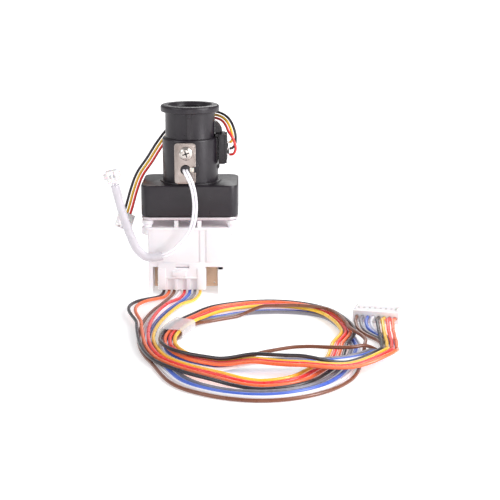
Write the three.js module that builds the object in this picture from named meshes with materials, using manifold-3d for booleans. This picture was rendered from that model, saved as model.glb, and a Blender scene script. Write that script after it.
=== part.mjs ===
// Motorised diverter valve: a black moulded body with a flow turbine in its inlet barrel, a drum that turns
// the flow to one of two rear outlets, a white gear housing below it, and its sensor leads and harness.
// Millimetres, +Z up. The inlet axis is the local Z axis of every sub-part function; the whole group is
// then shifted along Y so that the origin is the bottom centre of the object without its cords.
import * as THREE from 'three';
import { mergeVertices } from 'three/addons/utils/BufferGeometryUtils.js';
import Module from 'manifold-3d';

const wasm = await Module();
wasm.setup();

// Heights above the surface that the legs stand on
const FLANGE_TOP = 92.3;
const FLANGE_BOTTOM = 89;
const BARREL_TOP = 76.4;
const BLOCK_TOP = 54.7;
const BLOCK_BOTTOM = 39.4;
const PLATE_TOP = 39.2;
const PLATE_BOTTOM = 37.6;
const HOUSING_TOP = 33.9;
const HOUSING_FLOOR = 14;
const PLUG_BOTTOM = 2.4;

// Valve body
const FLANGE_R = 14.4;
const NECK_R = 12.2;
const BARREL_R = 13.7;
const BORE_R = 9.8;
const WEB_BOTTOM = 54.6;
const WEB_TOP = 57;
const WEB_HOLE_R = 5.5;
const BLOCK = { width: 47.4, depth: 34, corner: 5 };
const CHAMBER_R = 11.2;
const COVER_POCKET_R = 14.6;
const COVER_POCKET_TOP = 42.2;
const PORT = { x: 8.5, z: 47, outerR: 6.4, boreR: 4.2, end: 28 };
const SCREW_AT = { x: 20.6, y: 13.4 };

// Diverter drum
const DRUM_R = 10.9;
const DRUM_BOTTOM = 42.8;
const DRUM_TOP = 54.2;
const SHAFT_R = 2.9;

// Gear train, module 0.5
const GEAR_MODULE = 0.5;
const OUTPUT_TEETH = 40;
const WHEEL_TEETH = 28;
const PINION_TEETH = 10;
const COMPOUND_AT = { x: -11.2, y: 5.55 };
const MOTOR_AT = { x: -6.3, y: -2.6 };

// Gear housing, board and plug
const HOUSING = { left: -20.5, right: 19.9, front: -16.6, back: 16, wall: 1.6 };
const LEFT_LEG = { left: -20.5, right: -18.6 };
const RIGHT_LEG = { left: 13.6, right: 16.4 };
const BOARD = { left: -18.2, right: 13.2, front: -5.4, thick: 1.6, bottom: 1.4, top: 13.4 };
const PLUG = { left: -15.9, right: 7.8, front: -17, back: -8.4, top: 16.4 };

// Thermistor, its bracket and the Hall sensor
const PROBE_AT = { x: -1.7, z: 62.4 };
const BRACKET_SCREW_AT = { x: -1.4, z: 70.4 };
const BRACKET = { left: -7, right: 3.3, bottom: 55.5, top: 75.4, back: -15, thick: 1 };
const HALL_CASE = { left: 13.9, right: 17.2, front: -5, back: 6, bottom: 63.4, top: 78.2 };
const HALL_BOARD = { left: 17.4, right: 18.3, front: -3.6, back: 4.6, bottom: 65.2, top: 76.4 };

// Wires
const HARNESS_D = 1.6;
const LEAD_D = 1.3;
const SENSOR_D = 1.3;

// The bottom centre of the object without its cords lies behind the inlet axis
const AXIS_Y = -(PORT.end - BLOCK.depth / 2) / 2;

const ROUND = 24;

const finish = (color, roughness, metalness = 0) => ({ color, roughness, metalness });
const BLACK = finish(0x3a343a, 0.5);
const WHITE = finish(0xf4f2f4, 0.42);
const STEEL = finish(0xb9ada8, 0.35, 0.9);
const NICKEL = finish(0xcfc8c2, 0.25, 1);
const RUBBER = finish(0x1c1a1b, 0.75);
const TAN = finish(0xe0a67c, 0.6);
const NATURAL = finish(0xe9e4da, 0.5);
const MAGNET = finish(0x4a4a4e, 0.55, 0.4);

const valve = new THREE.Group();

function addPart(name, geometry, look) {
  const material = new THREE.MeshStandardMaterial(look);
  const part = new THREE.Mesh(geometry, material);
  part.name = name;
  valve.add(part);
  return part;
}

// Solids: three.js shapes, joined and cut as manifolds

function solid(geometry) {
  const bare = geometry.index ? geometry.clone() : mergeVertices(geometry.clone());
  bare.deleteAttribute('normal');
  bare.deleteAttribute('uv');
  const merged = mergeVertices(bare, 1e-4);
  const vertProperties = new Float32Array(merged.attributes.position.array);
  const triVerts = new Uint32Array(merged.index.array);
  return new wasm.Manifold(new wasm.Mesh({ numProp: 3, vertProperties, triVerts }));
}

function geometryOf(manifold) {
  const mesh = manifold.getMesh();
  const geometry = new THREE.BufferGeometry();
  geometry.setAttribute('position', new THREE.BufferAttribute(mesh.vertProperties, 3));
  geometry.setIndex(new THREE.BufferAttribute(mesh.triVerts, 1));
  return geometry;
}

const join = (...solids) => solids.reduce((sum, next) => sum.add(next));
const cut = (base, ...solids) => solids.reduce((rest, next) => rest.subtract(next), base);

// A cylinder or cone frustum along Z
function rod(radius, bottom, top, { x = 0, y = 0, topRadius = radius, sides = ROUND } = {}) {
  const geometry = new THREE.CylinderGeometry(topRadius, radius, top - bottom, sides);
  geometry.rotateX(Math.PI / 2);
  geometry.translate(x, y, (top + bottom) / 2);
  return solid(geometry);
}

// A cylinder along Y, from front to back
function rodY(radius, front, back, { x = 0, z = 0, backRadius = radius, sides = 18 } = {}) {
  const geometry = new THREE.CylinderGeometry(backRadius, radius, back - front, sides);
  geometry.translate(x, (front + back) / 2, z);
  return solid(geometry);
}

// A cylinder along X, from left to right
function rodX(radius, left, right, { y = 0, z = 0, sides = 16 } = {}) {
  const geometry = new THREE.CylinderGeometry(radius, radius, right - left, sides);
  geometry.rotateZ(Math.PI / 2);
  geometry.translate((left + right) / 2, y, z);
  return solid(geometry);
}

function box(left, right, front, back, bottom, top) {
  const geometry = new THREE.BoxGeometry(right - left, back - front, top - bottom);
  geometry.translate((left + right) / 2, (front + back) / 2, (bottom + top) / 2);
  return solid(geometry);
}

// A plate standing on the XY plane, with round corners
function roundBox(left, right, front, back, bottom, top, corner) {
  const shape = new THREE.Shape();
  shape.absarc(right - corner, back - corner, corner, 0, Math.PI / 2);
  shape.absarc(left + corner, back - corner, corner, Math.PI / 2, Math.PI);
  shape.absarc(left + corner, front + corner, corner, Math.PI, Math.PI * 1.5);
  shape.absarc(right - corner, front + corner, corner, Math.PI * 1.5, Math.PI * 2);
  const geometry = new THREE.ExtrudeGeometry(shape, {
    depth: top - bottom, bevelEnabled: false, curveSegments: 4,
  });
  geometry.translate(0, 0, bottom);
  return solid(geometry);
}

// A flat outline in the XZ plane, given as [x, z] points, extruded from front to back
function prismY(points, front, back) {
  const shape = new THREE.Shape(points.map(([x, z]) => new THREE.Vector2(x, z)));
  const geometry = new THREE.ExtrudeGeometry(shape, { depth: back - front, bevelEnabled: false });
  geometry.rotateX(Math.PI / 2);
  geometry.translate(0, back, 0);
  return solid(geometry);
}

function ring(innerR, outerR, bottom, top, place = {}) {
  return cut(rod(outerR, bottom, top, place), rod(innerR, bottom - 1, top + 1, place));
}

// A round-section ring about Z (an O-ring)
function torus(centreR, sectionR, { x = 0, y = 0, z = 0, axis = 'z' } = {}) {
  const geometry = new THREE.TorusGeometry(centreR, sectionR, 6, 18);
  if (axis === 'y') {
    geometry.rotateX(Math.PI / 2);
  }
  geometry.translate(x, y, z);
  return solid(geometry);
}

// A spur gear with straight-flanked teeth. phase turns its first tooth from the +X axis.
function gear(teeth, bottom, top, { x = 0, y = 0, phase = 0 } = {}) {
  const pitchR = (teeth * GEAR_MODULE) / 2;
  const rootR = pitchR - 1.2 * GEAR_MODULE;
  const tipR = pitchR + 0.75 * GEAR_MODULE;
  const pitchAngle = (Math.PI * 2) / teeth;
  const rootHalf = pitchAngle * 0.27;
  const tipHalf = pitchAngle * 0.09;
  const shape = new THREE.Shape();
  for (let tooth = 0; tooth < teeth; tooth += 1) {
    const middle = phase + tooth * pitchAngle;
    const corners = [
      [rootR, middle - rootHalf],
      [tipR, middle - tipHalf],
      [tipR, middle + tipHalf],
      [rootR, middle + rootHalf],
    ];
    for (const [radius, angle] of corners) {
      const point = [radius * Math.cos(angle), radius * Math.sin(angle)];
      if (shape.curves.length === 0 && shape.currentPoint.length() === 0) {
        shape.moveTo(...point);
      } else {
        shape.lineTo(...point);
      }
    }
  }
  shape.closePath();
  const geometry = new THREE.ExtrudeGeometry(shape, { depth: top - bottom, bevelEnabled: false });
  geometry.translate(x, y, bottom);
  return solid(geometry);
}

// Sub-parts

function valveBody() {
  const profile = [
    [0, BLOCK_TOP - 3], [BARREL_R, BLOCK_TOP - 3],
    [BARREL_R, BARREL_TOP - 0.6], [BARREL_R - 0.6, BARREL_TOP],
    [NECK_R, BARREL_TOP], [NECK_R, FLANGE_BOTTOM], [FLANGE_R - 0.6, FLANGE_BOTTOM],
    [FLANGE_R, FLANGE_BOTTOM + 0.8], [FLANGE_R, FLANGE_TOP - 1.1], [FLANGE_R - 1.2, FLANGE_TOP],
    [0, FLANGE_TOP],
  ].map(([radius, z]) => new THREE.Vector2(radius, z));
  const lathe = new THREE.LatheGeometry(profile, ROUND);
  lathe.rotateX(Math.PI / 2);
  const tower = solid(lathe);
  const half = BLOCK.width / 2;
  const deep = BLOCK.depth / 2;
  const block = roundBox(-half, half, -deep, deep, BLOCK_BOTTOM, BLOCK_TOP, BLOCK.corner);
  const probeBoss = rodY(6.2, BRACKET.back + 0.3, -6, { x: PROBE_AT.x + 0.6, z: PROBE_AT.z });
  const screwBoss = rodY(3.8, BRACKET.back + 0.3, -8, { x: BRACKET_SCREW_AT.x, z: BRACKET_SCREW_AT.z });
  const hallPad = box(8, HALL_CASE.left - 0.2, -4.2, 5.2, 64, BARREL_TOP);
  const hook = prismY([[12.4, 59], [14.4, 61.2], [14.4, 62.4], [12.4, 62.4]], -2, 2.4);
  const moulding = box(-0.9, 0.9, -NECK_R - 0.35, -NECK_R + 1, BARREL_TOP - 0.5, FLANGE_BOTTOM + 0.5);
  const ports = [-1, 1].map((side) => portSpigot(side * PORT.x));
  const outside = join(tower, block, probeBoss, screwBoss, hallPad, hook, moulding, ...ports);
  const screwHoles = screwPlaces().map(([x, y]) => rod(1.4, BLOCK_BOTTOM - 1, 49, { x, y, sides: 16 }));
  const portBores = [-PORT.x, PORT.x].map((x) => rodY(PORT.boreR, 2, PORT.end + 1, { x, z: PORT.z }));
  return cut(
    outside,
    rod(BORE_R, WEB_TOP, FLANGE_TOP + 1),
    rod(BORE_R, FLANGE_TOP - 0.8, FLANGE_TOP + 0.1, { topRadius: BORE_R + 0.9 }),
    rod(WEB_HOLE_R, WEB_BOTTOM - 1, WEB_TOP + 1),
    rod(CHAMBER_R, COVER_POCKET_TOP - 1, WEB_BOTTOM),
    rod(COVER_POCKET_R, BLOCK_BOTTOM - 1, COVER_POCKET_TOP),
    rodY(2.3, -20, -8, { x: PROBE_AT.x, z: PROBE_AT.z, sides: 20 }),
    rodY(3.5, -20, -12.6, { x: PROBE_AT.x, z: PROBE_AT.z }),
    rodY(1.3, -20, -11, { x: BRACKET_SCREW_AT.x, z: BRACKET_SCREW_AT.z, sides: 14 }),
    ...screwHoles,
    ...portBores,
  );
}

// A rear outlet with an O-ring groove near its end
function portSpigot(x) {
  const body = rodY(PORT.outerR, 10, PORT.end, { x, z: PORT.z, sides: 22 });
  const groove = cut(
    rodY(PORT.outerR + 1, 23.4, 25.6, { x, z: PORT.z, sides: 22 }),
    rodY(PORT.outerR - 1.2, 23, 26, { x, z: PORT.z, sides: 22 }),
  );
  return cut(body, groove);
}

const screwPlaces = () => [-1, 1].flatMap((side) => (
  [-1, 1].map((end) => [side * SCREW_AT.x, end * SCREW_AT.y])
));

// A wheel-shaped carrier that holds one end of the turbine axle
function bearingSpider(bottom, top, blindFrom, blindTo) {
  const rim = ring(BORE_R - 1.2, BORE_R - 0.2, bottom, top);
  const hub = rod(2.3, bottom, top, { sides: 20 });
  const arms = [0, 1, 2].map((step) => {
    const arm = new THREE.BoxGeometry(BORE_R - 1.5, 1.3, top - bottom);
    arm.translate(BORE_R / 2 - 0.1, 0, (top + bottom) / 2);
    arm.rotateZ(Math.PI / 2 + (step * Math.PI * 2) / 3);
    return solid(arm);
  });
  return cut(join(rim, hub, ...arms), rod(0.95, blindFrom, blindTo, { sides: 16 }));
}

// Hub, magnet seat and helical vanes that turn on the axle
function flowTurbine() {
  const hub = rod(2.6, 61.6, 81, { sides: 24 });
  const seat = rod(4.4, 61.6, 62.6, { sides: 24 });
  const vanes = [];
  const vaneCount = 5;
  const slices = 4;
  for (let vane = 0; vane < vaneCount; vane += 1) {
    const start = (vane * Math.PI * 2) / vaneCount;
    const shape = new THREE.Shape([
      new THREE.Vector2(1.6, -0.45), new THREE.Vector2(8.6, -0.45),
      new THREE.Vector2(8.6, 0.45), new THREE.Vector2(1.6, 0.45),
    ]);
    const blade = new THREE.ExtrudeGeometry(shape, { depth: 10, steps: slices, bevelEnabled: false });
    const position = blade.attributes.position;
    const twistPerMm = Math.PI / 30;
    for (let i = 0; i < position.count; i += 1) {
      const turn = start + position.getZ(i) * twistPerMm;
      const x = position.getX(i);
      const y = position.getY(i);
      position.setXY(i, x * Math.cos(turn) - y * Math.sin(turn), x * Math.sin(turn) + y * Math.cos(turn));
    }
    blade.translate(0, 0, 69.4);
    vanes.push(solid(blade));
  }
  return cut(join(hub, seat, ...vanes), rod(1, 60, 83, { sides: 16 }));
}

// The drum takes water in at its top and sends it out of one side window
function diverterDrum() {
  const body = rod(DRUM_R, DRUM_BOTTOM, DRUM_TOP);
  return cut(
    body,
    rod(5.2, PORT.z - 1.5, DRUM_TOP + 1),
    rodY(3.6, -1, DRUM_R + 1, { z: PORT.z }),
    ring(6.1, 8.1, DRUM_TOP - 0.9, DRUM_TOP + 1),
    box(-2.2, 2.2, -2.2, 2.2, DRUM_BOTTOM - 1, DRUM_BOTTOM + 2.4),
  );
}

function bottomCover() {
  const plate = rod(COVER_POCKET_R - 0.3, BLOCK_BOTTOM, COVER_POCKET_TOP - 0.8);
  return cut(plate, rod(4.6, BLOCK_BOTTOM - 1, COVER_POCKET_TOP + 1));
}

function outputGear() {
  const toothed = gear(OUTPUT_TEETH, 28.6, 31.4, { phase: 0 });
  const hub = rod(4.2, 31.2, 32);
  const shaft = rod(SHAFT_R, 31, DRUM_BOTTOM - 0.3);
  const tip = box(-2, 2, -2, 2, DRUM_BOTTOM - 0.8, DRUM_BOTTOM + 2);
  return cut(join(toothed, hub, shaft, tip), rod(1.2, 27, 33, { sides: 14 }));
}

const directionTo = (from, to) => Math.atan2(to.y - from.y, to.x - from.x);

// Tooth phase that puts a gap of the driven gear on the line towards a tooth of its mate
function meshPhase(teeth, towardMate, mateTeeth, matePhase) {
  const matePitch = (Math.PI * 2) / mateTeeth;
  const lineOnMate = towardMate + Math.PI;
  const offset = (((lineOnMate - matePhase) / matePitch) % 1 + 1) % 1;
  const pitch = (Math.PI * 2) / teeth;
  return towardMate + (0.5 - (-offset)) * pitch;
}

const AXIS = { x: 0, y: 0 };
const COMPOUND_PINION_PHASE = meshPhase(PINION_TEETH, directionTo(COMPOUND_AT, AXIS), OUTPUT_TEETH, 0);
const MOTOR_PINION_PHASE = meshPhase(
  PINION_TEETH, directionTo(MOTOR_AT, COMPOUND_AT), WHEEL_TEETH, COMPOUND_PINION_PHASE,
);

function compoundGear() {
  const wheel = gear(WHEEL_TEETH, 26, 27.9, { ...COMPOUND_AT, phase: COMPOUND_PINION_PHASE });
  const pinion = gear(PINION_TEETH, 27.7, 31.6, { ...COMPOUND_AT, phase: COMPOUND_PINION_PHASE });
  return cut(join(wheel, pinion), rod(0.95, 25, 33, { ...COMPOUND_AT, sides: 14 }));
}

function motorPinion() {
  const toothed = gear(PINION_TEETH, 25.4, 28.2, { ...MOTOR_AT, phase: MOTOR_PINION_PHASE });
  const shaft = rod(1, 19.5, 25.6, { ...MOTOR_AT, sides: 16 });
  return join(toothed, shaft);
}

function motorCan() {
  const can = rod(10.6, 16, 24, MOTOR_AT);
  const nose = rod(3.2, 23.8, 24.6, { ...MOTOR_AT, sides: 24 });
  const tab = box(MOTOR_AT.x - 4, MOTOR_AT.x + 4, MOTOR_AT.y + 8, MOTOR_AT.y + 12.4, 16, 21);
  return cut(join(can, nose, tab), rod(1.25, 18.8, 26, { ...MOTOR_AT, sides: 16 }));
}

// White shell, open below, with four screw posts, two standoffs and two legs
function gearHousing() {
  const { left, right, front, back, wall } = HOUSING;
  const shell = box(left, right, front, back, HOUSING_FLOOR, HOUSING_TOP);
  const cornerPosts = screwPlaces().map(([x, y]) => (
    rod(4.2, HOUSING_FLOOR - 1, HOUSING_TOP - wall, { x, y })
  ));
  const cavity = cut(
    box(left + wall, right - wall, front + wall, back - wall, HOUSING_FLOOR - 1, HOUSING_TOP - wall),
    ...cornerPosts,
  );
  const ears = screwPlaces().map(([x, y]) => rod(2.7, 30.4, PLATE_BOTTOM - 0.2, { x, y, sides: 20 }));
  const standoffs = [-6.5, 4.7].map((x) => (
    box(x - 1, x + 1, front + 0.4, front + 3, 33, PLATE_BOTTOM - 0.2)
  ));
  const backStandoffs = [-6.5, 4.7].map((x) => (
    box(x - 1, x + 1, back - 3, back - 0.4, 33, PLATE_BOTTOM - 0.2)
  ));
  const boss = rod(5.6, 33, 36.6);
  const step = box(8, right - 0.3, front - 0.4, front + 1, 16.6, HOUSING_TOP - 0.6);
  const leftLeg = box(LEFT_LEG.left, LEFT_LEG.right, front, back, 0, HOUSING_FLOOR + 1);
  const rightLeg = box(RIGHT_LEG.left, RIGHT_LEG.right, front, back, 0, HOUSING_FLOOR + 1);
  const tie = box(LEFT_LEG.left, RIGHT_LEG.right, back - 1.8, back, 4, HOUSING_FLOOR + 1);
  const rightSill = box(RIGHT_LEG.left, right, front, back, HOUSING_FLOOR - 1.4, HOUSING_FLOOR + 0.2);
  const outside = join(
    shell, boss, step, leftLeg, rightLeg, tie, rightSill, ...ears, ...standoffs, ...backStandoffs,
  );
  const driverWays = screwPlaces().map(([x, y]) => rod(2.95, -1, 31.3, { x, y, sides: 20 }));
  const screwHoles = screwPlaces().map(([x, y]) => rod(1.4, 30, 40, { x, y, sides: 16 }));
  const groove = box(4.3, 5.1, front - 1, front + 0.5, 16.6, 33.3);
  return cut(
    outside, cavity, groove, rod(SHAFT_R + 0.5, 31, 38), rod(4.6, 31, 33.2), ...driverWays, ...screwHoles,
  );
}

function housingFloor() {
  const { left, right, front, back, wall } = HOUSING;
  const gap = wall + 0.3;
  const [bottom, top] = [HOUSING_FLOOR + 0.1, HOUSING_FLOOR + 1.6];
  const plate = box(left + gap, right - gap, front + gap, back - gap, bottom, top);
  const corners = screwPlaces().map(([x, y]) => rod(4.6, 0, 20, { x, y, sides: 24 }));
  const wireWay = box(-6, 2, -4, -1, 10, 18);
  const legs = [LEFT_LEG, RIGHT_LEG].map((leg) => (
    box(leg.left - 0.3, leg.right + 0.3, front - 1, back + 1, 0, HOUSING_FLOOR + 1.2)
  ));
  return cut(plate, ...corners, wireWay, ...legs, box(-20, 16, back - 2.4, back, 0, HOUSING_FLOOR + 1.2));
}

function mountingPlate() {
  const half = BLOCK.width / 2 - 0.1;
  const deep = BLOCK.depth / 2 - 0.2;
  const plate = roundBox(-half, half, -deep, deep, PLATE_BOTTOM, PLATE_TOP, BLOCK.corner);
  const holes = screwPlaces().map(([x, y]) => rod(1.5, 36, 41, { x, y, sides: 16 }));
  return cut(plate, rod(4.8, 36, 41), ...holes);
}

function blockScrew(x, y) {
  const head = rod(2.2, 29.7, 31, { x, y, sides: 20 });
  const shank = rod(1.15, 30.8, 47.5, { x, y, sides: 12 });
  const slot = join(
    box(x - 1.3, x + 1.3, y - 0.3, y + 0.3, 29, 30.2),
    box(x - 0.3, x + 0.3, y - 1.3, y + 1.3, 29, 30.2),
  );
  return cut(join(head, shank), slot);
}

function thermistorBracket() {
  const { left, right, bottom, top, back, thick } = BRACKET;
  const plate = roundBox(left, right, bottom, top, 0, thick, 1.6).rotate([90, 0, 0]).translate([0, back, 0]);
  const flange = box(right - 0.9, right, back - thick - 0.9, back - 0.2, bottom + 2, top - 2);
  const notch = box(right - 1.6, right + 1, back - 2, back + 3, 61.2, 64);
  return cut(
    join(plate, flange),
    notch,
    rodY(2.5, back - 2, back + 2, { x: PROBE_AT.x, z: PROBE_AT.z }),
    rodY(1.5, back - 2, back + 2, { x: BRACKET_SCREW_AT.x, z: BRACKET_SCREW_AT.z, sides: 16 }),
  );
}

function bracketScrew() {
  const { x, z } = BRACKET_SCREW_AT;
  const front = BRACKET.back - BRACKET.thick;
  const head = rodY(2.3, front - 1, front - 0.1, { x, z, backRadius: 3.2 });
  const shank = rodY(1.1, front - 0.4, -11.4, { x, z, sides: 12 });
  const cross = join(
    box(x - 1.5, x + 1.5, front - 2, front - 0.5, z - 0.3, z + 0.3),
    box(x - 0.3, x + 0.3, front - 2, front - 0.5, z - 1.5, z + 1.5),
  );
  return cut(join(head, shank), cross);
}

// Probe body behind the bracket with a flange, and a nose that comes out of the bracket's hole
function thermistorProbe() {
  const place = { x: PROBE_AT.x, z: PROBE_AT.z, sides: 20 };
  const flange = rodY(3.2, BRACKET.back + 0.2, BRACKET.back + 0.9, place);
  const nose = rodY(2.2, BRACKET.back - BRACKET.thick - 0.4, BRACKET.back + 0.4, place);
  const stem = rodY(2, BRACKET.back + 0.5, -10, place);
  return join(flange, nose, stem);
}

function hallCase() {
  const { left, right, front, back, bottom, top } = HALL_CASE;
  const shell = box(left, right, front, back, bottom, top);
  const lip = box(12.3, left + 0.5, front + 1.2, back - 1.2, top - 1.6, top);
  return join(shell, lip);
}

function hallBoard() {
  const { left, right, front, back, bottom, top } = HALL_BOARD;
  const card = box(left, right, front, back, bottom, top);
  const chip = box(right - 0.1, right + 0.8, 2.2, 4, 67, 70);
  const joints = [67.4, 70.4, 73.4].map((z) => rodX(0.75, right - 0.1, right + 0.6, { y: 0, z }));
  return join(card, chip, ...joints);
}

function hallClip() {
  const points = [[12.3, 78.5], [16, 78.5], [15.6, 80.6], [14.6, 82.4], [13.2, 83.8], [12.3, 84.2]];
  return prismY(points, -2.4, 2.4);
}

function circuitBoard() {
  const { left, right, front, thick, bottom, top } = BOARD;
  return box(left, right, front, front + thick, bottom, top);
}

function boardHeader() {
  return cut(
    box(-13.6, 5.4, -8, BOARD.front - 0.2, 5.6, 13.2),
    box(-12.6, 4.4, -9, BOARD.front - 1.2, 6.6, 12.2),
  );
}

// Plug: a block with side ears, a latch, three front pockets, and a slot below for the wires
function harnessPlug() {
  const { left, right, front, back, top } = PLUG;
  const shell = roundBox(left, right, front, back, PLUG_BOTTOM, HOUSING_FLOOR - 0.3, 0.8);
  const riser = box(left + 0.2, right - 0.2, front, HOUSING.front - 0.1, HOUSING_FLOOR - 1, top);
  const pockets = [[-11.2, -7.6], [-6.4, -1.6], [0, 3.3]].map(([from, to]) => (
    box(from, to, front - 1, front + 0.9, PLUG_BOTTOM - 1, 8.1)
  ));
  const latchWindow = box(-7, -0.4, front - 1, front + 0.35, 13, 15.6);
  const wireSlot = box(-14.4, 6.3, front + 1.6, back - 0.8, PLUG_BOTTOM - 1, 5);
  return cut(join(shell, riser), ...pockets, latchWindow, wireSlot);
}

// Connectors: a flat housing with contact windows at its mating end and a wire slot at the other end.
// Built along +Y (the wires arrive from -Y), then turned into place.
function connector(ways, pitch, length, thick, wing = 0) {
  const half = ((ways - 1) * pitch) / 2 + 1.9;
  let body = box(-half, half, 0, length, -thick / 2, thick / 2);
  if (wing > 0) {
    body = join(body, box(-half - wing, half + wing, length * 0.35, length * 0.8, -thick / 4, thick / 4));
  }
  const windows = [];
  for (let way = 0; way < ways; way += 1) {
    const x = (way - (ways - 1) / 2) * pitch;
    windows.push(box(x - 0.6, x + 0.6, length - 2.5, length + 1, -thick / 4, thick / 4));
  }
  return cut(body, ...windows);
}

// Cords. Every route is a hand-chosen list of points, joined by one smooth curve.

class Route extends THREE.Curve {
  constructor(pointAt, stops) {
    super();
    this.pointAt = pointAt;
    this.stops = stops;
  }

  getPoint(t, target = new THREE.Vector3()) {
    const place = t * (this.stops.length - 1);
    const index = Math.min(Math.floor(place), this.stops.length - 2);
    const distance = THREE.MathUtils.lerp(this.stops[index], this.stops[index + 1], place - index);
    return target.copy(this.pointAt(distance));
  }

  getSpacedPoints(divisions) {
    return this.getPoints(divisions);
  }

  getTangentAt(u, target = new THREE.Vector3()) {
    const at = this.stops[Math.round(u * (this.stops.length - 1))];
    const last = this.stops[this.stops.length - 1];
    const ahead = this.pointAt(Math.min(at + 0.05, last));
    const behind = this.pointAt(Math.max(at - 0.05, 0));
    return target.copy(ahead).sub(behind).normalize();
  }
}

// Distances along a route: a few short steps at each end, longer ones between
function stopsFor(length, step, shortStep = step, shortCount = 0) {
  const stops = [0];
  for (let i = 1; i <= shortCount; i += 1) {
    stops.push(i * shortStep);
  }
  const start = stops[stops.length - 1];
  const count = Math.ceil((length - start) / step);
  for (let i = 1; i <= count; i += 1) {
    stops.push(start + ((length - start) * i) / count);
  }
  return stops;
}

function tube(route, shapes) {
  const outline = new THREE.Shape(shapes.outer);
  if (shapes.inner) {
    outline.holes.push(new THREE.Path(shapes.inner));
  }
  const geometry = new THREE.ExtrudeGeometry(outline, {
    steps: route.stops.length - 1, bevelEnabled: false, extrudePath: route,
  });
  return geometry;
}

// A regular section round a wire
function circle(radius, sides = 8) {
  const points = [];
  for (let side = 0; side < sides; side += 1) {
    const angle = ((side + 0.5) * Math.PI * 2) / sides;
    points.push(new THREE.Vector2(radius * Math.cos(angle), radius * Math.sin(angle)));
  }
  return points;
}

// A rectangle with round corners: the tube's frame takes its height first, then its width
function roundedSection(height, width, corner) {
  const points = [];
  for (const [sideH, sideW, start] of [[1, 1, 0], [-1, 1, 1], [-1, -1, 2], [1, -1, 3]]) {
    for (let step = 0; step <= 2; step += 1) {
      const angle = ((start + step / 2) * Math.PI) / 2;
      points.push(new THREE.Vector2(
        sideH * (height / 2 - corner) + corner * Math.cos(angle),
        sideW * (width / 2 - corner) + corner * Math.sin(angle),
      ));
    }
  }
  return points;
}

function curveThrough(points) {
  const curve = new THREE.CatmullRomCurve3(points.map((p) => new THREE.Vector3(...p)), false, 'centripetal');
  curve.arcLengthDivisions = points.length * 24;
  return curve;
}

// The point of a curve at a distance along it
const along = (curve, from = 0) => (distance) => (
  curve.getPointAt(THREE.MathUtils.clamp((from + distance) / curve.getLength(), 0, 1))
);

const smooth = (from, to, value) => THREE.MathUtils.smoothstep(value, from, to);

// Harness: eight wires side by side across one centre route
const HARNESS_ROUTE = [
  [-4.1, -12.4, 4.7], [-4.15, -12.6, 3.2], [-4.2, -13.9, 1.5], [-4.35, -16.6, 0.9], [-5.9, -25.5, 0.9],
  [-9.6, -37.5, 0.9], [-13.4, -50.5, 0.9], [-15.9, -66, 0.9], [-16.4, -84, 0.9], [-14.8, -101, 0.9],
  [-10.5, -117, 0.9], [-3, -132, 0.9], [8, -146, 0.9], [22, -155, 0.9], [38, -156.5, 0.9],
  [53, -149, 0.9], [64, -132.5, 0.9], [70.5, -111, 0.9], [73, -90, 0.9], [70.6, -70, 0.9],
  [63.8, -54.5, 0.9],
  [51, -46.5, 0.9], [35, -45, 0.9], [20, -50.5, 0.9], [8.5, -60.5, 0.9], [0.5, -73, 0.9],
  [-4.5, -87, 0.9],
  [-6, -100, 0.9], [-3, -112, 0.9], [5, -122.5, 0.9], [17, -129.5, 0.9], [32, -133.5, 0.9],
  [48, -135.5, 0.9], [63, -134.5, 0.9], [77, -128, 0.9], [86, -116, 0.9], [89, -103, 0.9],
  [88.6, -92, 0.9], [86.6, -84, 1.2], [85.5, -77.5, 1.9], [85.5, -71.5, 2.7], [86.8, -66, 2.9],
];
const HARNESS_COLOURS = {
  K: ['black', 0x2b262a], O: ['orange', 0xf2703c], W: ['white', 0xf3f1f6], R: ['red', 0xee3f3f],
  B: ['blue', 0x5a80dc], N: ['brown', 0x84503a], G: ['grey', 0x8d8a92], Y: ['yellow', 0xf8c63c],
};
const START_ORDER = 'KONWRBGY';
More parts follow.
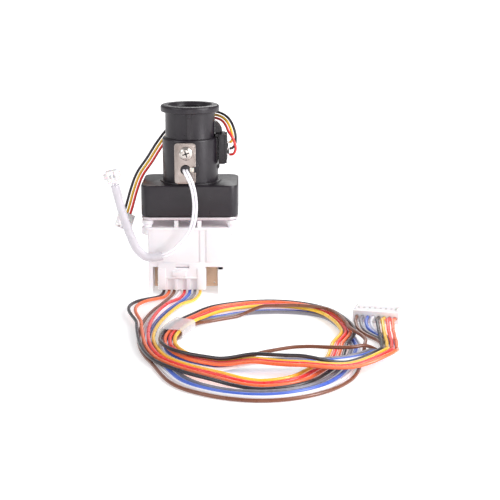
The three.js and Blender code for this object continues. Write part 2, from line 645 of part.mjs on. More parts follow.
// The wires' arrangement at distances along the route. Each row lists its wires from the outside of the
// loop inwards, the first row on the floor and the next one on top of it; raised wires lie that many
// layers higher than their row.
const ARRANGEMENTS = [
  { at: 0, pitch: 2.6, rows: ['KONWRBGY'] },
  { at: 14, pitch: 2.6, rows: ['KONWRBGY'] },
  { at: 34, pitch: 2.2, rows: ['KONWRBGY'], raised: { K: 1, O: 1, R: 1, Y: 1 } },
  { at: 92, pitch: 2.1, rows: ['NWBG', 'KORY'] },
  { at: 112, pitch: 2.1, rows: ['NWBG', 'KORY'] },
  { at: 150, pitch: 2.8, rows: ['NWBGKORY'], raised: { K: 1, O: 1, R: 1, Y: 1 } },
  { at: 174, pitch: 3.2, rows: ['NWBGKORY'] },
  { at: 204, pitch: 3, rows: ['NWBGKORY'] },
  { at: 228, pitch: 2.1, rows: ['NWBGKORY'] },
  { at: 242, pitch: 2, rows: ['NWBGKORY'], raised: { K: 1, O: 1, R: 1, Y: 1, N: 2 } },
  { at: 264, pitch: 2, rows: ['WBG', 'KORY', 'N'] },
  { at: 284, pitch: 2, rows: ['WBG', 'KORY', 'N'] },
  { at: 324, pitch: 2.1, rows: ['KOWRYBGN'], raised: { K: 1, O: 1, R: 1, Y: 1, N: 2 } },
  { at: 344, pitch: 2.1, rows: ['KOWRYBGN'], raised: { K: 1, O: 1, R: 1, Y: 1 } },
  { at: 370, pitch: 2.1, rows: ['WBGN', 'KORY'] },
  { at: 394, pitch: 2.1, rows: ['WBGN', 'KORY'] },
  { at: 410, pitch: 2.1, rows: ['WBGN', 'KORY'], raised: { K: 1 } },
  { at: 436, pitch: 2.1, rows: ['WBGN', 'ORY', 'K'] },
  { at: 472, pitch: 2.1, rows: ['ORYKWBGN'], raised: { O: 1, R: 1, Y: 1, K: 2, N: 1 } },
  { at: 492, pitch: 2.1, rows: ['ORYKWBGN'], raised: { N: 1 } },
  { at: 508, pitch: 2.1, rows: ['ORYKWBGN'], raised: { O: 1, R: 1, Y: 1, K: 1, N: 1 } },
  { at: 528, pitch: 2.1, rows: ['WBGN', 'ORYK'] },
  { at: 536, pitch: 2.1, rows: ['WBGN', 'ORYK'] },
  { at: 559, pitch: 2.3, rows: ['ORYKWBGN'], raised: { O: 1, R: 1, Y: 1, K: 1 } },
  { at: 568, pitch: 2.5, rows: ['ORYKWBGN'] },
];
const LAYER = 1.85;
const HARNESS_SLEEVE = { from: 373, to: 390, width: 10.8, height: 5, wall: 0.45, corner: 1.7, lift: 0.65 };
const SECOND_PASS_OVER = { from: 438, full: 458, until: 510, to: 526 };
// Stretches where one wire swings away from the rest: positive reach is away from the loop's middle
const SWINGS = {
  K: { from: 12, to: 66, reach: 7 },
  O: { from: 12, to: 66, reach: 5.8 },
  N: { from: 440, to: 516, reach: -9 },
};

// Where one wire lies in an arrangement: its offset to the outside and its height
function placeIn({ pitch, rows, raised = {} }, code) {
  const row = rows.findIndex((wires) => wires.includes(code));
  const middle = (rows[row].length - 1) / 2;
  const layers = row + (raised[code] ?? 0);
  return { offset: (middle - rows[row].indexOf(code)) * pitch, height: layers * LAYER };
}

function placeAcross(code, distance) {
  const next = ARRANGEMENTS.findIndex(({ at }) => at > distance);
  if (next < 0) {
    return placeIn(ARRANGEMENTS[ARRANGEMENTS.length - 1], code);
  }
  const before = placeIn(ARRANGEMENTS[next - 1], code);
  const after = placeIn(ARRANGEMENTS[next], code);
  const share = smooth(ARRANGEMENTS[next - 1].at, ARRANGEMENTS[next].at, distance);
  return {
    offset: THREE.MathUtils.lerp(before.offset, after.offset, share),
    height: THREE.MathUtils.lerp(before.height, after.height, share),
  };
}

function harnessPath(code) {
  const centre = curveThrough(HARNESS_ROUTE);
  const length = centre.getLength();
  const sideways = (distance) => {
    const tangent = centre.getTangentAt(Math.min(Math.max(distance, 9) / length, 1));
    return new THREE.Vector3(tangent.y, -tangent.x, 0).normalize();
  };
  const pointAt = (distance) => {
    let { offset, height } = placeAcross(code, distance);
    const { from: sleeveFrom, to: sleeveTo, lift: sleeveLift } = HARNESS_SLEEVE;
    height += sleeveLift * smooth(sleeveFrom - 16, sleeveFrom - 3, distance)
      * (1 - smooth(sleeveTo + 3, sleeveTo + 16, distance));
    const pass = SECOND_PASS_OVER;
    height += 2 * LAYER * smooth(pass.from, pass.full, distance)
      * (1 - smooth(pass.until, pass.to, distance));
    if (SWINGS[code]) {
      const { from, to, reach } = SWINGS[code];
      const middle = (from + to) / 2;
      offset += reach * smooth(from, middle, distance) * (1 - smooth(middle, to, distance));
    }
    const up = new THREE.Vector3(0, 0, height);
    return along(centre)(distance).addScaledVector(sideways(distance), offset).add(up);
  };
  return { pointAt, length };
}

// Hall sensor wires: k is +1 for the outer wire of the loop and -1 for the inner one.
const HALL_ROUTE = [
  [20.9, 1.4, 75.5], [19.6, 3.6, 80.6], [16.4, 8, 84.4], [11, 12.6, 85.6],
  [4, 15, 84.6], [-3.5, 15, 82], [-10, 12.6, 78], [-15.8, 9.6, 71.2], [-20.9, 7.4, 63.4],
  [-25.8, 5, 56.4], [-28.6, 1.6, 49], [-30.5, -2.2, 42], [-31.6, -5, 38.4],
];
// Each wire starts at its own solder joint and joins the shared route a few steps in
const HALL_WIRES = {
  black: { k: 1, skip: 0, colour: 0x2b262a, lead: [[19.4, 0, 70.4], [20.8, 0.2, 70.6], [22.1, 0.8, 72.4]] },
  yellow: { k: 0, skip: 0, colour: 0xf8c63c, lead: [[19.4, 0, 73.4], [20.3, 0.4, 73.8]] },
  red: {
    k: -1, skip: 2, colour: 0xee3f3f,
    lead: [[19.4, 0, 67.4], [21.2, -0.6, 67.7], [22.4, -1.3, 70.2], [21.9, -1.5, 73.4], [20.6, -1.2, 76.4],
      [18.9, 0.7, 78.7]],
  },
};
const HALL_PITCH = 1.6;

// Thermistor lead: two wires side by side, then a sleeve over both up to the connector.
const THERMISTOR_ROUTE = [
  [-1.7, -16.8, 62.4], [-1.6, -19, 62.3], [-0.4, -20.6, 60.4], [1.5, -20.8, 56], [2.7, -20.6, 50],
  [2.9, -20.6, 43.5], [1.9, -20.8, 37], [-0.8, -21, 31], [-5, -21.4, 26], [-9.6, -21.8, 22.4],
  [-15.5, -22, 20.6], [-21, -22.2, 20.8], [-25.2, -22.4, 24.4], [-28, -22.6, 30.5], [-30.6, -22.8, 38],
  [-32.8, -23, 46], [-34.6, -23.2, 53.6], [-35.4, -23.4, 57.2],
];
const THERMISTOR_SLEEVE = { from: 52, shortOfEnd: 1, outerR: 2.1, innerR: 1.76 };

// Placement in plan of a connector whose wires arrive along the given direction
function placed(geometry, at, direction, up) {
  const forward = new THREE.Vector3(...direction).normalize();
  const side = new THREE.Vector3().crossVectors(forward, new THREE.Vector3(...up)).normalize();
  const top = new THREE.Vector3().crossVectors(side, forward);
  const matrix = new THREE.Matrix4().makeBasis(side, forward, top).setPosition(...at);
  geometry.applyMatrix4(matrix);
  return geometry;
}

// Assembly

addPart('valve_body', geometryOf(valveBody()), BLACK);
addPart('upper_bearing_spider', geometryOf(bearingSpider(82.4, 85.4, 81, 84.4)), BLACK);
addPart('lower_bearing_spider', geometryOf(bearingSpider(57.2, 60.2, 58.2, 61)), BLACK);
addPart('turbine_axle', geometryOf(rod(0.8, 58.4, 84.2, { sides: 16 })), NICKEL);
addPart('flow_turbine', geometryOf(flowTurbine()), NATURAL);
addPart('turbine_magnet', geometryOf(ring(2.8, 4.4, 62.8, 68.6)), MAGNET);
addPart('diverter_drum', geometryOf(diverterDrum()), NATURAL);
addPart('drum_seal', geometryOf(torus(7.1, 0.6, { z: DRUM_TOP - 0.28 })), RUBBER);
addPart('bottom_cover', geometryOf(bottomCover()), BLACK);
addPart('cover_gasket', geometryOf(ring(CHAMBER_R + 0.3, COVER_POCKET_R - 0.4, 41.6, 42)), RUBBER);
addPart('shaft_bush', geometryOf(ring(SHAFT_R + 0.15, 4.4, BLOCK_BOTTOM - 0.6, 41.2)), NATURAL);
addPart('mounting_plate', geometryOf(mountingPlate()), STEEL);
['front_left', 'rear_left', 'front_right', 'rear_right'].forEach((corner, index) => {
  addPart(`block_screw_${corner}`, geometryOf(blockScrew(...screwPlaces()[index])), NICKEL);
});
addPart('gear_housing', geometryOf(gearHousing()), WHITE);
addPart('housing_floor', geometryOf(housingFloor()), WHITE);
addPart('output_gear', geometryOf(outputGear()), NATURAL);
addPart('compound_gear', geometryOf(compoundGear()), NATURAL);
addPart('compound_gear_pin', geometryOf(rod(0.75, 25, 32.1, { ...COMPOUND_AT, sides: 14 })), NICKEL);
addPart('motor_pinion', geometryOf(motorPinion()), NICKEL);
addPart('motor_can', geometryOf(motorCan()), STEEL);
addPart('circuit_board', geometryOf(circuitBoard()), TAN);
addPart('board_header', geometryOf(boardHeader()), WHITE);
addPart('position_sensor', geometryOf(box(8.6, 11.8, BOARD.front + BOARD.thick + 0.1, -1.6, 6, 10)), BLACK);
addPart('harness_plug', geometryOf(harnessPlug()), WHITE);
addPart('thermistor_bracket', geometryOf(thermistorBracket()), STEEL);
addPart('bracket_screw', geometryOf(bracketScrew()), NICKEL);
addPart('thermistor_probe', geometryOf(thermistorProbe()), NATURAL);
const probeSeal = torus(2.75, 0.55, { x: PROBE_AT.x, y: -13.4, z: PROBE_AT.z, axis: 'y' });
addPart('thermistor_seal', geometryOf(probeSeal), RUBBER);
addPart('hall_case', geometryOf(hallCase()), BLACK);
addPart('hall_board', geometryOf(hallBoard()), BLACK);
addPart('hall_clip', geometryOf(hallClip()), BLACK);
for (const [side, x] of [['left', -PORT.x], ['right', PORT.x]]) {
  const seal = torus(PORT.outerR - 0.3, 0.75, { x, y: 24.5, z: PORT.z, axis: 'y' });
  addPart(`outlet_seal_${side}`, geometryOf(seal), RUBBER);
}

const harnessEnd = HARNESS_ROUTE[HARNESS_ROUTE.length - 1];
const harnessBeforeEnd = HARNESS_ROUTE[HARNESS_ROUTE.length - 2];
const HARNESS_END_HEADING = [harnessEnd[0] - harnessBeforeEnd[0], harnessEnd[1] - harnessBeforeEnd[1], 0];
for (const code of START_ORDER) {
  const [colour, hex] = HARNESS_COLOURS[code];
  const { pointAt, length } = harnessPath(code);
  const route = new Route(pointAt, stopsFor(length, 13.4, 1.8, 4));
  addPart(`harness_wire_${colour}`, tube(route, { outer: circle(HARNESS_D / 2) }), finish(hex, 0.35));
}

// The clear sleeve follows the centre route where the wires are folded into two layers
function harnessSleeve() {
  const { from, to, width, height, wall, corner } = HARNESS_SLEEVE;
  const centre = curveThrough(HARNESS_ROUTE);
  const lift = new THREE.Vector3(0, 0, height / 2 - HARNESS_D / 2 - 0.05);
  const pointAt = (distance) => along(centre, from)(distance).add(lift);
  return tube(new Route(pointAt, stopsFor(to - from, 4.5)), {
    outer: roundedSection(height, width, corner),
    inner: roundedSection(height - 2 * wall, width - 2 * wall, corner - wall),
  });
}

addPart('harness_sleeve', harnessSleeve(), finish(0xf2eef2, 0.3));
const endConnector = geometryOf(connector(8, 2.5, 9.8, 5.75));
addPart('end_connector', placed(endConnector, [harnessEnd[0] + 0.12, harnessEnd[1] + 0.3, 2.9],
  HARNESS_END_HEADING, [0, 0, 1]), WHITE);

function hallWire({ k, skip, lead }) {
  const centre = curveThrough(HALL_ROUTE);
  const shared = [];
  const count = 24;
  for (let i = skip; i <= count; i += 1) {
    const tangent = centre.getTangentAt(i / count);
    const outward = new THREE.Vector3(0, 1, 0).cross(tangent).normalize();
    shared.push(centre.getPointAt(i / count).addScaledVector(outward, k * HALL_PITCH).toArray());
  }
  const curve = curveThrough([...lead, ...shared]);
  return { pointAt: along(curve), length: curve.getLength() };
}

for (const [colour, wire] of Object.entries(HALL_WIRES)) {
  const { pointAt, length } = hallWire(wire);
  const route = new Route(pointAt, stopsFor(length, 4.4));
  addPart(`hall_wire_${colour}`, tube(route, { outer: circle(SENSOR_D / 2) }), finish(wire.colour, 0.35));
}

const hallEnd = new THREE.Vector3(...HALL_ROUTE[HALL_ROUTE.length - 1]);
const hallHeading = hallEnd.clone().sub(new THREE.Vector3(...HALL_ROUTE[HALL_ROUTE.length - 2])).normalize();
const hallConnector = geometryOf(connector(3, 2, 7.4, 4.6));
addPart('hall_connector', placed(hallConnector, hallEnd.addScaledVector(hallHeading, 0.3).toArray(),
  hallHeading.toArray(), [0.25, -1, 0.1]), WHITE);

const thermistorCentre = curveThrough(THERMISTOR_ROUTE);
const thermistorLength = thermistorCentre.getLength();
const thermistorSideways = (distance) => {
  const tangent = thermistorCentre.getTangentAt(Math.min(Math.max(distance / thermistorLength, 0), 1));
  return new THREE.Vector3(0, 1, 0).cross(tangent).normalize();
};
for (const [suffix, side] of [['a', -1], ['b', 1]]) {
  const pointAt = (distance) => {
    const apart = LEAD_D * 0.54;
    const start = new THREE.Vector3(-1, 0, 0);
    const sideways = thermistorSideways(distance).lerp(start, 1 - smooth(0, 6, distance)).normalize();
    return along(thermistorCentre)(distance).addScaledVector(sideways, side * apart);
  };
  const route = new Route(pointAt, stopsFor(thermistorLength, 4));
  addPart(`thermistor_wire_${suffix}`, tube(route, { outer: circle(LEAD_D / 2) }), finish(0xf3f1f6, 0.35));
}

function thermistorSleeve() {
  const length = thermistorLength - THERMISTOR_SLEEVE.from - THERMISTOR_SLEEVE.shortOfEnd;
  return tube(new Route(along(thermistorCentre, THERMISTOR_SLEEVE.from), stopsFor(length, 5)), {
    outer: circle(THERMISTOR_SLEEVE.outerR, 10), inner: circle(THERMISTOR_SLEEVE.innerR, 10),
  });
}

addPart('thermistor_sleeve', thermistorSleeve(), finish(0xe6e2e8, 0.4));
const leadEnd = new THREE.Vector3(...THERMISTOR_ROUTE[THERMISTOR_ROUTE.length - 1]);
const leadHeading = leadEnd.clone().sub(new THREE.Vector3(...THERMISTOR_ROUTE[THERMISTOR_ROUTE.length - 2]));
leadHeading.normalize();
const thermistorConnector = geometryOf(connector(2, 2, 6.2, 3.4, 1.4));
const leadConnectorAt = leadEnd.addScaledVector(leadHeading, 0.3).toArray();
addPart('thermistor_connector', placed(thermistorConnector, leadConnectorAt,
  leadHeading.toArray(), [0, -1, 0]), WHITE);

valve.position.y = AXIS_Y;

export default valve;
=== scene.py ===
import math
from bisect import bisect_right

import bmesh
import bpy
from mathutils import Matrix, Vector


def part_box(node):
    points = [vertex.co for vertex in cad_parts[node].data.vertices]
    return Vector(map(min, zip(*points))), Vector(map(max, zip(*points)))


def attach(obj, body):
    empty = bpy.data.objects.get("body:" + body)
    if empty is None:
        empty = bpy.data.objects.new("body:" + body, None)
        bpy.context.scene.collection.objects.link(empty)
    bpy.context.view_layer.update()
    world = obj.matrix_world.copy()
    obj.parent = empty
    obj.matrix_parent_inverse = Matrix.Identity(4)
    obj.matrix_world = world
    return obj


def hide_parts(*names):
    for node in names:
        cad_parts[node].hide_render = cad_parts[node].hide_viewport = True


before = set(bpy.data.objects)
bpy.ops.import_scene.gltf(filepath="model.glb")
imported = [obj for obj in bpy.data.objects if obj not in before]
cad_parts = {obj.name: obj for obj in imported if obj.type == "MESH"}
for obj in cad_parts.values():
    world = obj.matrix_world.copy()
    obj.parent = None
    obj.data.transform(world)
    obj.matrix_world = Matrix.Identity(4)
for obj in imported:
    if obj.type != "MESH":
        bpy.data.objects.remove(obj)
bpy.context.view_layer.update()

MM = 0.001

# The inlet axis stands on the turbine's axle. Every sub-part below is drawn about that axis, in millimetres.
axle_low, axle_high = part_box("turbine_axle")
AXIS_Y = (axle_low.y + axle_high.y) / 2 / MM

# Heights above the floor, and the valve block's sizes
FLANGE_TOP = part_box("valve_body")[1].z / MM
FLANGE_BOTTOM = 89
BARREL_TOP = 76.4
BLOCK_TOP = 54.7
BLOCK_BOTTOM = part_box("valve_body")[0].z / MM
PLATE_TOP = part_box("mounting_plate")[1].z / MM
PLATE_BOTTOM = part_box("mounting_plate")[0].z / MM
HOUSING_TOP = 33.9
HOUSING_FLOOR = 14.0

FLANGE_R = 14.4
NECK_R = 12.2
BARREL_R = 13.7
BORE_R = 9.8
WEB_TOP = 57.0
BLOCK_HALF_X = 23.7
BLOCK_HALF_Y = 17.0
BLOCK_CORNER = 5.0
PORT_X = 8.5
PORT_Z = 47.0
PORT_END = 28.0
PORT_R = 6.4
PORT_BORE_R = 4.2
CHAMBER_R = 11.2
COVER_POCKET_R = 14.6
ROUND_SIDES = 144
SCREW_PLACES = [(x, y) for x in (-20.6, 20.6) for y in (-13.4, 13.4)]
SCREW_HOLE_R = 1.4

HOUSING = {"left": -20.5, "right": 19.9, "front": -16.6, "back": 16.0, "wall": 1.6}
LEFT_LEG = (-20.5, -18.6)
RIGHT_LEG = (13.6, 16.4)
BOARD = {"left": -18.2, "right": 13.2, "front": -5.4, "thick": 1.6, "bottom": 1.4, "top": 13.4}
PLUG = {"left": -15.9, "right": 7.8, "front": -17.0, "back": -8.4, "bottom": 2.4, "top": 16.4}
PROBE_X, PROBE_Z = -1.7, 62.4
BRACKET_SCREW_X, BRACKET_SCREW_Z = -1.4, 70.4
PROBE_AT, BRACKET_SCREW_AT = (PROBE_X, 0, PROBE_Z), (BRACKET_SCREW_X, 0, BRACKET_SCREW_Z)
BRACKET = {"left": -7.0, "right": 3.3, "bottom": 55.5, "top": 75.4, "back": -15.0, "thick": 1.0}
HALL_CASE = {"left": 13.9, "right": 17.2, "front": -5.0, "back": 6.0, "bottom": 63.4, "top": 78.2}
HALL_BOARD = {"left": 17.4, "right": 18.3, "front": -3.6, "back": 4.6, "bottom": 65.2, "top": 76.4}

WIRE_D = 0.0016
LEAD_D = 0.0013


def linked(name, data):
    made = bpy.data.objects.new(name, data)
    bpy.context.scene.collection.objects.link(made)
    return made


# --- Materials ---

def new_material(name):
    made = bpy.data.materials.new(name)
    made.use_nodes = True
    tree = made.node_tree
    return made, tree, tree.nodes["Principled BSDF"]


def add(tree, kind, inputs=None, **settings):
    made = tree.nodes.new(kind)
    for key, value in settings.items():
        setattr(made, key, value)
    for key, value in (inputs or {}).items():
        made.inputs[key].default_value = value
    return made


def noise(tree, scale, detail=3.0, stretch=None, rough=0.55):
    """Noise over the piece's own metres: scale is in cycles per metre, stretch scales each axis."""
    place = add(tree, "ShaderNodeTexCoord")
    source = place.outputs["Object"]
    if stretch:
        mapping = add(tree, "ShaderNodeMapping", {"Scale": stretch})
        tree.links.new(source, mapping.inputs["Vector"])
        source = mapping.outputs["Vector"]
    made = add(tree, "ShaderNodeTexNoise", {"Scale": scale, "Detail": detail, "Roughness": rough})
    tree.links.new(source, made.inputs["Vector"])
    return made.outputs["Fac"]


def spread(tree, value, low, high, start=0.3, end=0.7):
    made = add(tree, "ShaderNodeMapRange", {
        "From Min": start, "From Max": end, "To Min": low, "To Max": high})
    tree.links.new(value, made.inputs["Value"])
    return made.outputs["Result"]


def blend_colours(tree, factor, first, second):
    made = add(tree, "ShaderNodeMix", data_type="RGBA")
    tree.links.new(factor, made.inputs["Factor"])
    for socket, colour in ((6, first), (7, second)):
        if isinstance(colour, bpy.types.NodeSocket):
            tree.links.new(colour, made.inputs[socket])
        else:
            made.inputs[socket].default_value = (*colour, 1)
    return made.outputs[2]


def bump(tree, shader, heights):
    """heights is a list of (height output, depth in metres), laid over each other."""
    last = None
    for height, depth in heights:
        made = add(tree, "ShaderNodeBump", {"Strength": 1.0, "Distance": depth})
        tree.links.new(height, made.inputs["Height"])
        if last:
            tree.links.new(last, made.inputs["Normal"])
        last = made.outputs["Normal"]
    tree.links.new(last, shader.inputs["Normal"])


def moulded(name, colour, shade, roughness, grain=2600, depth=0.00002, uneven=0.08, **sockets):
    """Moulded plastic: two near shades in soft patches, a fine grain, and uneven gloss."""
    made, tree, shader = new_material(name)
    patches = spread(tree, noise(tree, 90, 4), 0, 1)
    fine = noise(tree, grain, 2)
    specks = spread(tree, fine, 0, 0.5, 0.35, 0.75)
    base = blend_colours(tree, patches, colour, shade)
    tree.links.new(blend_colours(tree, specks, base, shade), shader.inputs["Base Color"])
    gloss = spread(tree, noise(tree, 260, 5), roughness - uneven, roughness + uneven)
    tree.links.new(gloss, shader.inputs["Roughness"])
    bump(tree, shader, [(noise(tree, 420, 2), depth * 2), (fine, depth)])
    for key, value in sockets.items():
        shader.inputs[key.replace("_", " ")].default_value = value
    return made


def metal(name, colour, shade, roughness, stretch, depth=0.000004):
    """Plated or rolled metal with fine lines along one axis and small stains."""
    made, tree, shader = new_material(name)
    lines = noise(tree, 900, 4, stretch)
    stains = spread(tree, noise(tree, 240, 5), 0, 1)
    tree.links.new(blend_colours(tree, stains, colour, shade), shader.inputs["Base Color"])
    tree.links.new(spread(tree, lines, roughness - 0.08, roughness + 0.14), shader.inputs["Roughness"])
    bump(tree, shader, [(lines, depth), (noise(tree, 500, 3), depth * 2)])
    shader.inputs["Metallic"].default_value = 1
    return made


def board_material(name, colour, shade, fibre):
    """Paper-phenolic board: pressed fibres across it, in a warm tan."""
    made, tree, shader = new_material(name)
    fibres = spread(tree, noise(tree, 700, 6, (1, 1, 5)), 0, 1)
    flecks = spread(tree, noise(tree, 2400, 3, (6, 1, 1)), 0, 0.6, 0.5, 0.75)
    base = blend_colours(tree, fibres, colour, shade)
    tree.links.new(blend_colours(tree, flecks, base, fibre), shader.inputs["Base Color"])
    tree.links.new(spread(tree, noise(tree, 300, 4), 0.38, 0.58), shader.inputs["Roughness"])
    bump(tree, shader, [(noise(tree, 1500, 4), 0.00001)])
    return made


BLACK = moulded("black_moulding", (0.019, 0.014, 0.020), (0.011, 0.008, 0.012), 0.34,
                grain=3400, depth=0.000018, uneven=0.07)
BLACK_SMOOTH = moulded("black_smooth", (0.017, 0.014, 0.017), (0.010, 0.008, 0.011), 0.3, depth=0.00001)
WHITE = moulded("white_moulding", (0.89, 0.865, 0.88), (0.85, 0.82, 0.84), 0.42,
                grain=1800, depth=0.000012, Subsurface_Weight=0.08, Subsurface_Scale=0.002)
NYLON = moulded("nylon", (0.84, 0.81, 0.82), (0.79, 0.76, 0.77), 0.34,
                depth=0.00001, Subsurface_Weight=0.15, Subsurface_Scale=0.0015)
ACETAL = moulded("acetal", (0.78, 0.74, 0.66), (0.70, 0.66, 0.58), 0.38,
                 depth=0.00001, Subsurface_Weight=0.1, Subsurface_Scale=0.002)
RUBBER = moulded("seal_rubber", (0.022, 0.021, 0.022), (0.035, 0.033, 0.034), 0.62, grain=1500, depth=0.00002)
MAGNET = moulded("bonded_magnet", (0.075, 0.075, 0.08), (0.05, 0.05, 0.055), 0.5, Metallic=0.3)
# The steel's grey is its own; its warm brown tint is painted reflection of warm bounce light.
STEEL = metal("zinc_steel", (0.52, 0.46, 0.43), (0.38, 0.32, 0.29), 0.34, (1, 1, 0.06))
PLATE = metal("zinc_plate", (0.82, 0.76, 0.79), (0.68, 0.61, 0.64), 0.42, (1, 1, 0.06))
NICKEL = metal("nickel", (0.72, 0.68, 0.64), (0.58, 0.53, 0.49), 0.22, (1, 1, 0.3))
# The board's tan is partly its own colour and partly painted warm bounce light in the housing's shaded gaps.
TAN_BOARD = board_material("tan_board", (0.98, 0.70, 0.50), (0.93, 0.63, 0.42), (0.98, 0.80, 0.62))
DARK_BOARD = board_material("dark_board", (0.03, 0.035, 0.03), (0.018, 0.022, 0.018), (0.05, 0.055, 0.045))
SOLDER = metal("solder", (0.72, 0.71, 0.70), (0.5, 0.49, 0.48), 0.3, (1, 1, 1), depth=0.00001)


def pvc(name, colour, shade, roughness=0.3):
    return moulded(name, colour, shade, roughness, grain=1300, depth=0.000012, uneven=0.06,
                   Coat_Weight=0.35, Coat_Roughness=0.18)


WIRES = {
    "black": pvc("wire_black", (0.022, 0.018, 0.024), (0.035, 0.028, 0.034)),
    "orange": pvc("wire_orange", (0.98, 0.19, 0.06), (0.92, 0.15, 0.04)),
    "white": pvc("wire_white", (0.95, 0.94, 0.97), (0.90, 0.88, 0.93)),
    "red": pvc("wire_red", (0.95, 0.055, 0.05), (0.84, 0.04, 0.04)),
    "blue": pvc("wire_blue", (0.09, 0.19, 0.72), (0.06, 0.13, 0.56)),
    "brown": pvc("wire_brown", (0.235, 0.075, 0.035), (0.17, 0.05, 0.022)),
    "grey": pvc("wire_grey", (0.27, 0.255, 0.29), (0.20, 0.19, 0.22)),
    "yellow": pvc("wire_yellow", (1.0, 0.64, 0.05), (0.97, 0.54, 0.035)),
}


def clear_tube(name, colour, alpha, roughness):
    return moulded(name, colour, tuple(c * 0.93 for c in colour), roughness, grain=900, depth=0.00003,
                   Coat_Weight=0.4, Coat_Roughness=0.12, Alpha=alpha)


HARNESS_TUBE = clear_tube("harness_tube", (0.93, 0.91, 0.93), 0.42, 0.24)
LEAD_TUBE = clear_tube("lead_tube", (0.80, 0.77, 0.82), 0.62, 0.3)


# --- Camera ---

def camera():
    data = bpy.data.cameras.new("camera")
    data.lens = 90.7
    data.sensor_width = 36
    data.clip_start = 0.01
    data.clip_end = 10
    made = linked("camera", data)
    made.location = (0.0295, -0.6225, 0.168)
    made.rotation_euler = (math.radians(76.4), 0, 0)
    bpy.context.scene.camera = made


camera()


# --- Cords ---

def smooth(start, end, value):
    t = min(max((value - start) / (end - start), 0), 1)
    return t * t * (3 - 2 * t)


def mix(a, b, t):
    return a + (b - a) * t


def metres(points):
    return [Vector([value * MM for value in point]) for point in points]


class Route:
    """The centripetal Catmull-Rom curve through given points, in metres, measured along its length."""

    STEPS = 24
    PROBE = 0.00005

    def __init__(self, points):
        self.points = points
        count = (len(points) - 1) * self.STEPS
        self.samples = [self.at_place(i / self.STEPS) for i in range(count + 1)]
        self.reach = [0.0]
        for before, after in zip(self.samples, self.samples[1:]):
            self.reach.append(self.reach[-1] + (after - before).length)
        self.length = self.reach[-1]

    def at_place(self, place):
        last = len(self.points) - 2
        index = min(int(place), last)
        weight = place - index
        near, far = self.points[index], self.points[index + 1]
        before = self.points[index - 1] if index > 0 else 2 * near - far
        after = self.points[index + 2] if index < last else 2 * far - near
        d0, d1, d2 = (math.sqrt((b - a).length) for a, b in ((before, near), (near, far), (far, after)))
        leave = ((near - before) / d0 - (far - before) / (d0 + d1) + (far - near) / d1) * d1
        arrive = ((far - near) / d1 - (after - near) / (d1 + d2) + (after - far) / d2) * d1
        square, cube = weight * weight, weight ** 3
        return (near * (2 * cube - 3 * square + 1) + leave * (cube - 2 * square + weight)
                + far * (3 * square - 2 * cube) + arrive * (cube - square))

    def at(self, distance):
        distance = min(max(distance, 0), self.length)
        low = min(bisect_right(self.reach, distance) - 1, len(self.reach) - 2)
        part = (distance - self.reach[low]) / (self.reach[low + 1] - self.reach[low])
        return self.at_place((low + part) / self.STEPS)

    def heading(self, distance):
        return (self.at(distance + self.PROBE) - self.at(distance - self.PROBE)).normalized()


WIRE_STEP = 0.0011
LEAD_STEP = 0.0008


def sampled(point_at, length, step=WIRE_STEP):
    count = math.ceil(length / step)
    return [point_at(length * i / count) for i in range(count + 1)]


# Routes are in millimetres about the inlet axis; a point without a height is at WIRE_LOW, on the floor
WIRE_LOW = 0.9
HARNESS_ROUTE = [
    (-4.1, -12.4, 4.7), (-4.15, -12.6, 3.2), (-4.2, -13.9, 1.5), (-4.35, -16.6), (-5.9, -25.5),
    (-9.6, -37.5), (-13.4, -50.5), (-15.9, -66), (-16.4, -84), (-14.8, -101), (-10.5, -117), (-3, -132),
    (8, -146), (22, -155), (38, -156.5), (53, -149), (64, -132.5), (70.5, -111), (73, -90), (70.6, -70),
    (63.8, -54.5), (51, -46.5), (35, -45), (20, -50.5), (8.5, -60.5), (0.5, -73), (-4.5, -87), (-6, -100),
    (-3, -112), (5, -122.5), (17, -129.5), (32, -133.5), (48, -135.5), (63, -134.5), (77, -128), (86, -116),
    (89, -103), (88.6, -92), (86.6, -84, 1.2), (85.5, -77.5, 1.9), (85.5, -71.5, 2.7), (86.8, -66, 2.9),
]
COLOUR_OF = dict(zip("KOWRBNGY", ("black", "orange", "white", "red", "blue", "brown", "grey", "yellow")))
UPPER = {"K": 1, "O": 1, "R": 1, "Y": 1}
# The wires' arrangement along the route: distance and pitch in metres, rows from the outside of the loop
# inwards (the first on the floor, the next on top of it), and the wires raised by more layers
ARRANGEMENTS = [
    (0.0, 0.0026, "KONWRBGY", {}),
    (0.014, 0.0026, "KONWRBGY", {}),
    (0.034, 0.0022, "KONWRBGY", UPPER),
    (0.092, 0.0021, "NWBG KORY", {}),
    (0.112, 0.0021, "NWBG KORY", {}),
    (0.15, 0.0028, "NWBGKORY", UPPER),
    (0.174, 0.0032, "NWBGKORY", {}),
    (0.204, 0.003, "NWBGKORY", {}),
    (0.228, 0.0021, "NWBGKORY", {}),
    (0.242, 0.002, "NWBGKORY", {**UPPER, "N": 2}),
    (0.264, 0.002, "WBG KORY N", {}),
    (0.284, 0.002, "WBG KORY N", {}),
    (0.324, 0.0021, "KOWRYBGN", {**UPPER, "N": 2}),
    (0.344, 0.0021, "KOWRYBGN", UPPER),
    (0.37, 0.0021, "WBGN KORY", {}),
    (0.394, 0.0021, "WBGN KORY", {}),
    (0.41, 0.0021, "WBGN KORY", {"K": 1}),
    (0.436, 0.0021, "WBGN ORY K", {}),
    (0.472, 0.0021, "ORYKWBGN", {**UPPER, "K": 2, "N": 1}),
    (0.492, 0.0021, "ORYKWBGN", {"N": 1}),
    (0.508, 0.0021, "ORYKWBGN", {**UPPER, "N": 1}),
    (0.528, 0.0021, "WBGN ORYK", {}),
    (0.536, 0.0021, "WBGN ORYK", {}),
    (0.559, 0.0023, "ORYKWBGN", UPPER),
    (0.568, 0.0025, "ORYKWBGN", {}),
]
LAYER = 0.00185
SLEEVE_FROM, SLEEVE_TO, SLEEVE_LIFT = 0.373, 0.39, 0.00065
LIFT_STARTS, LIFT_FULL = 0.016, 0.003
SIDEWAYS_FROM = 0.009
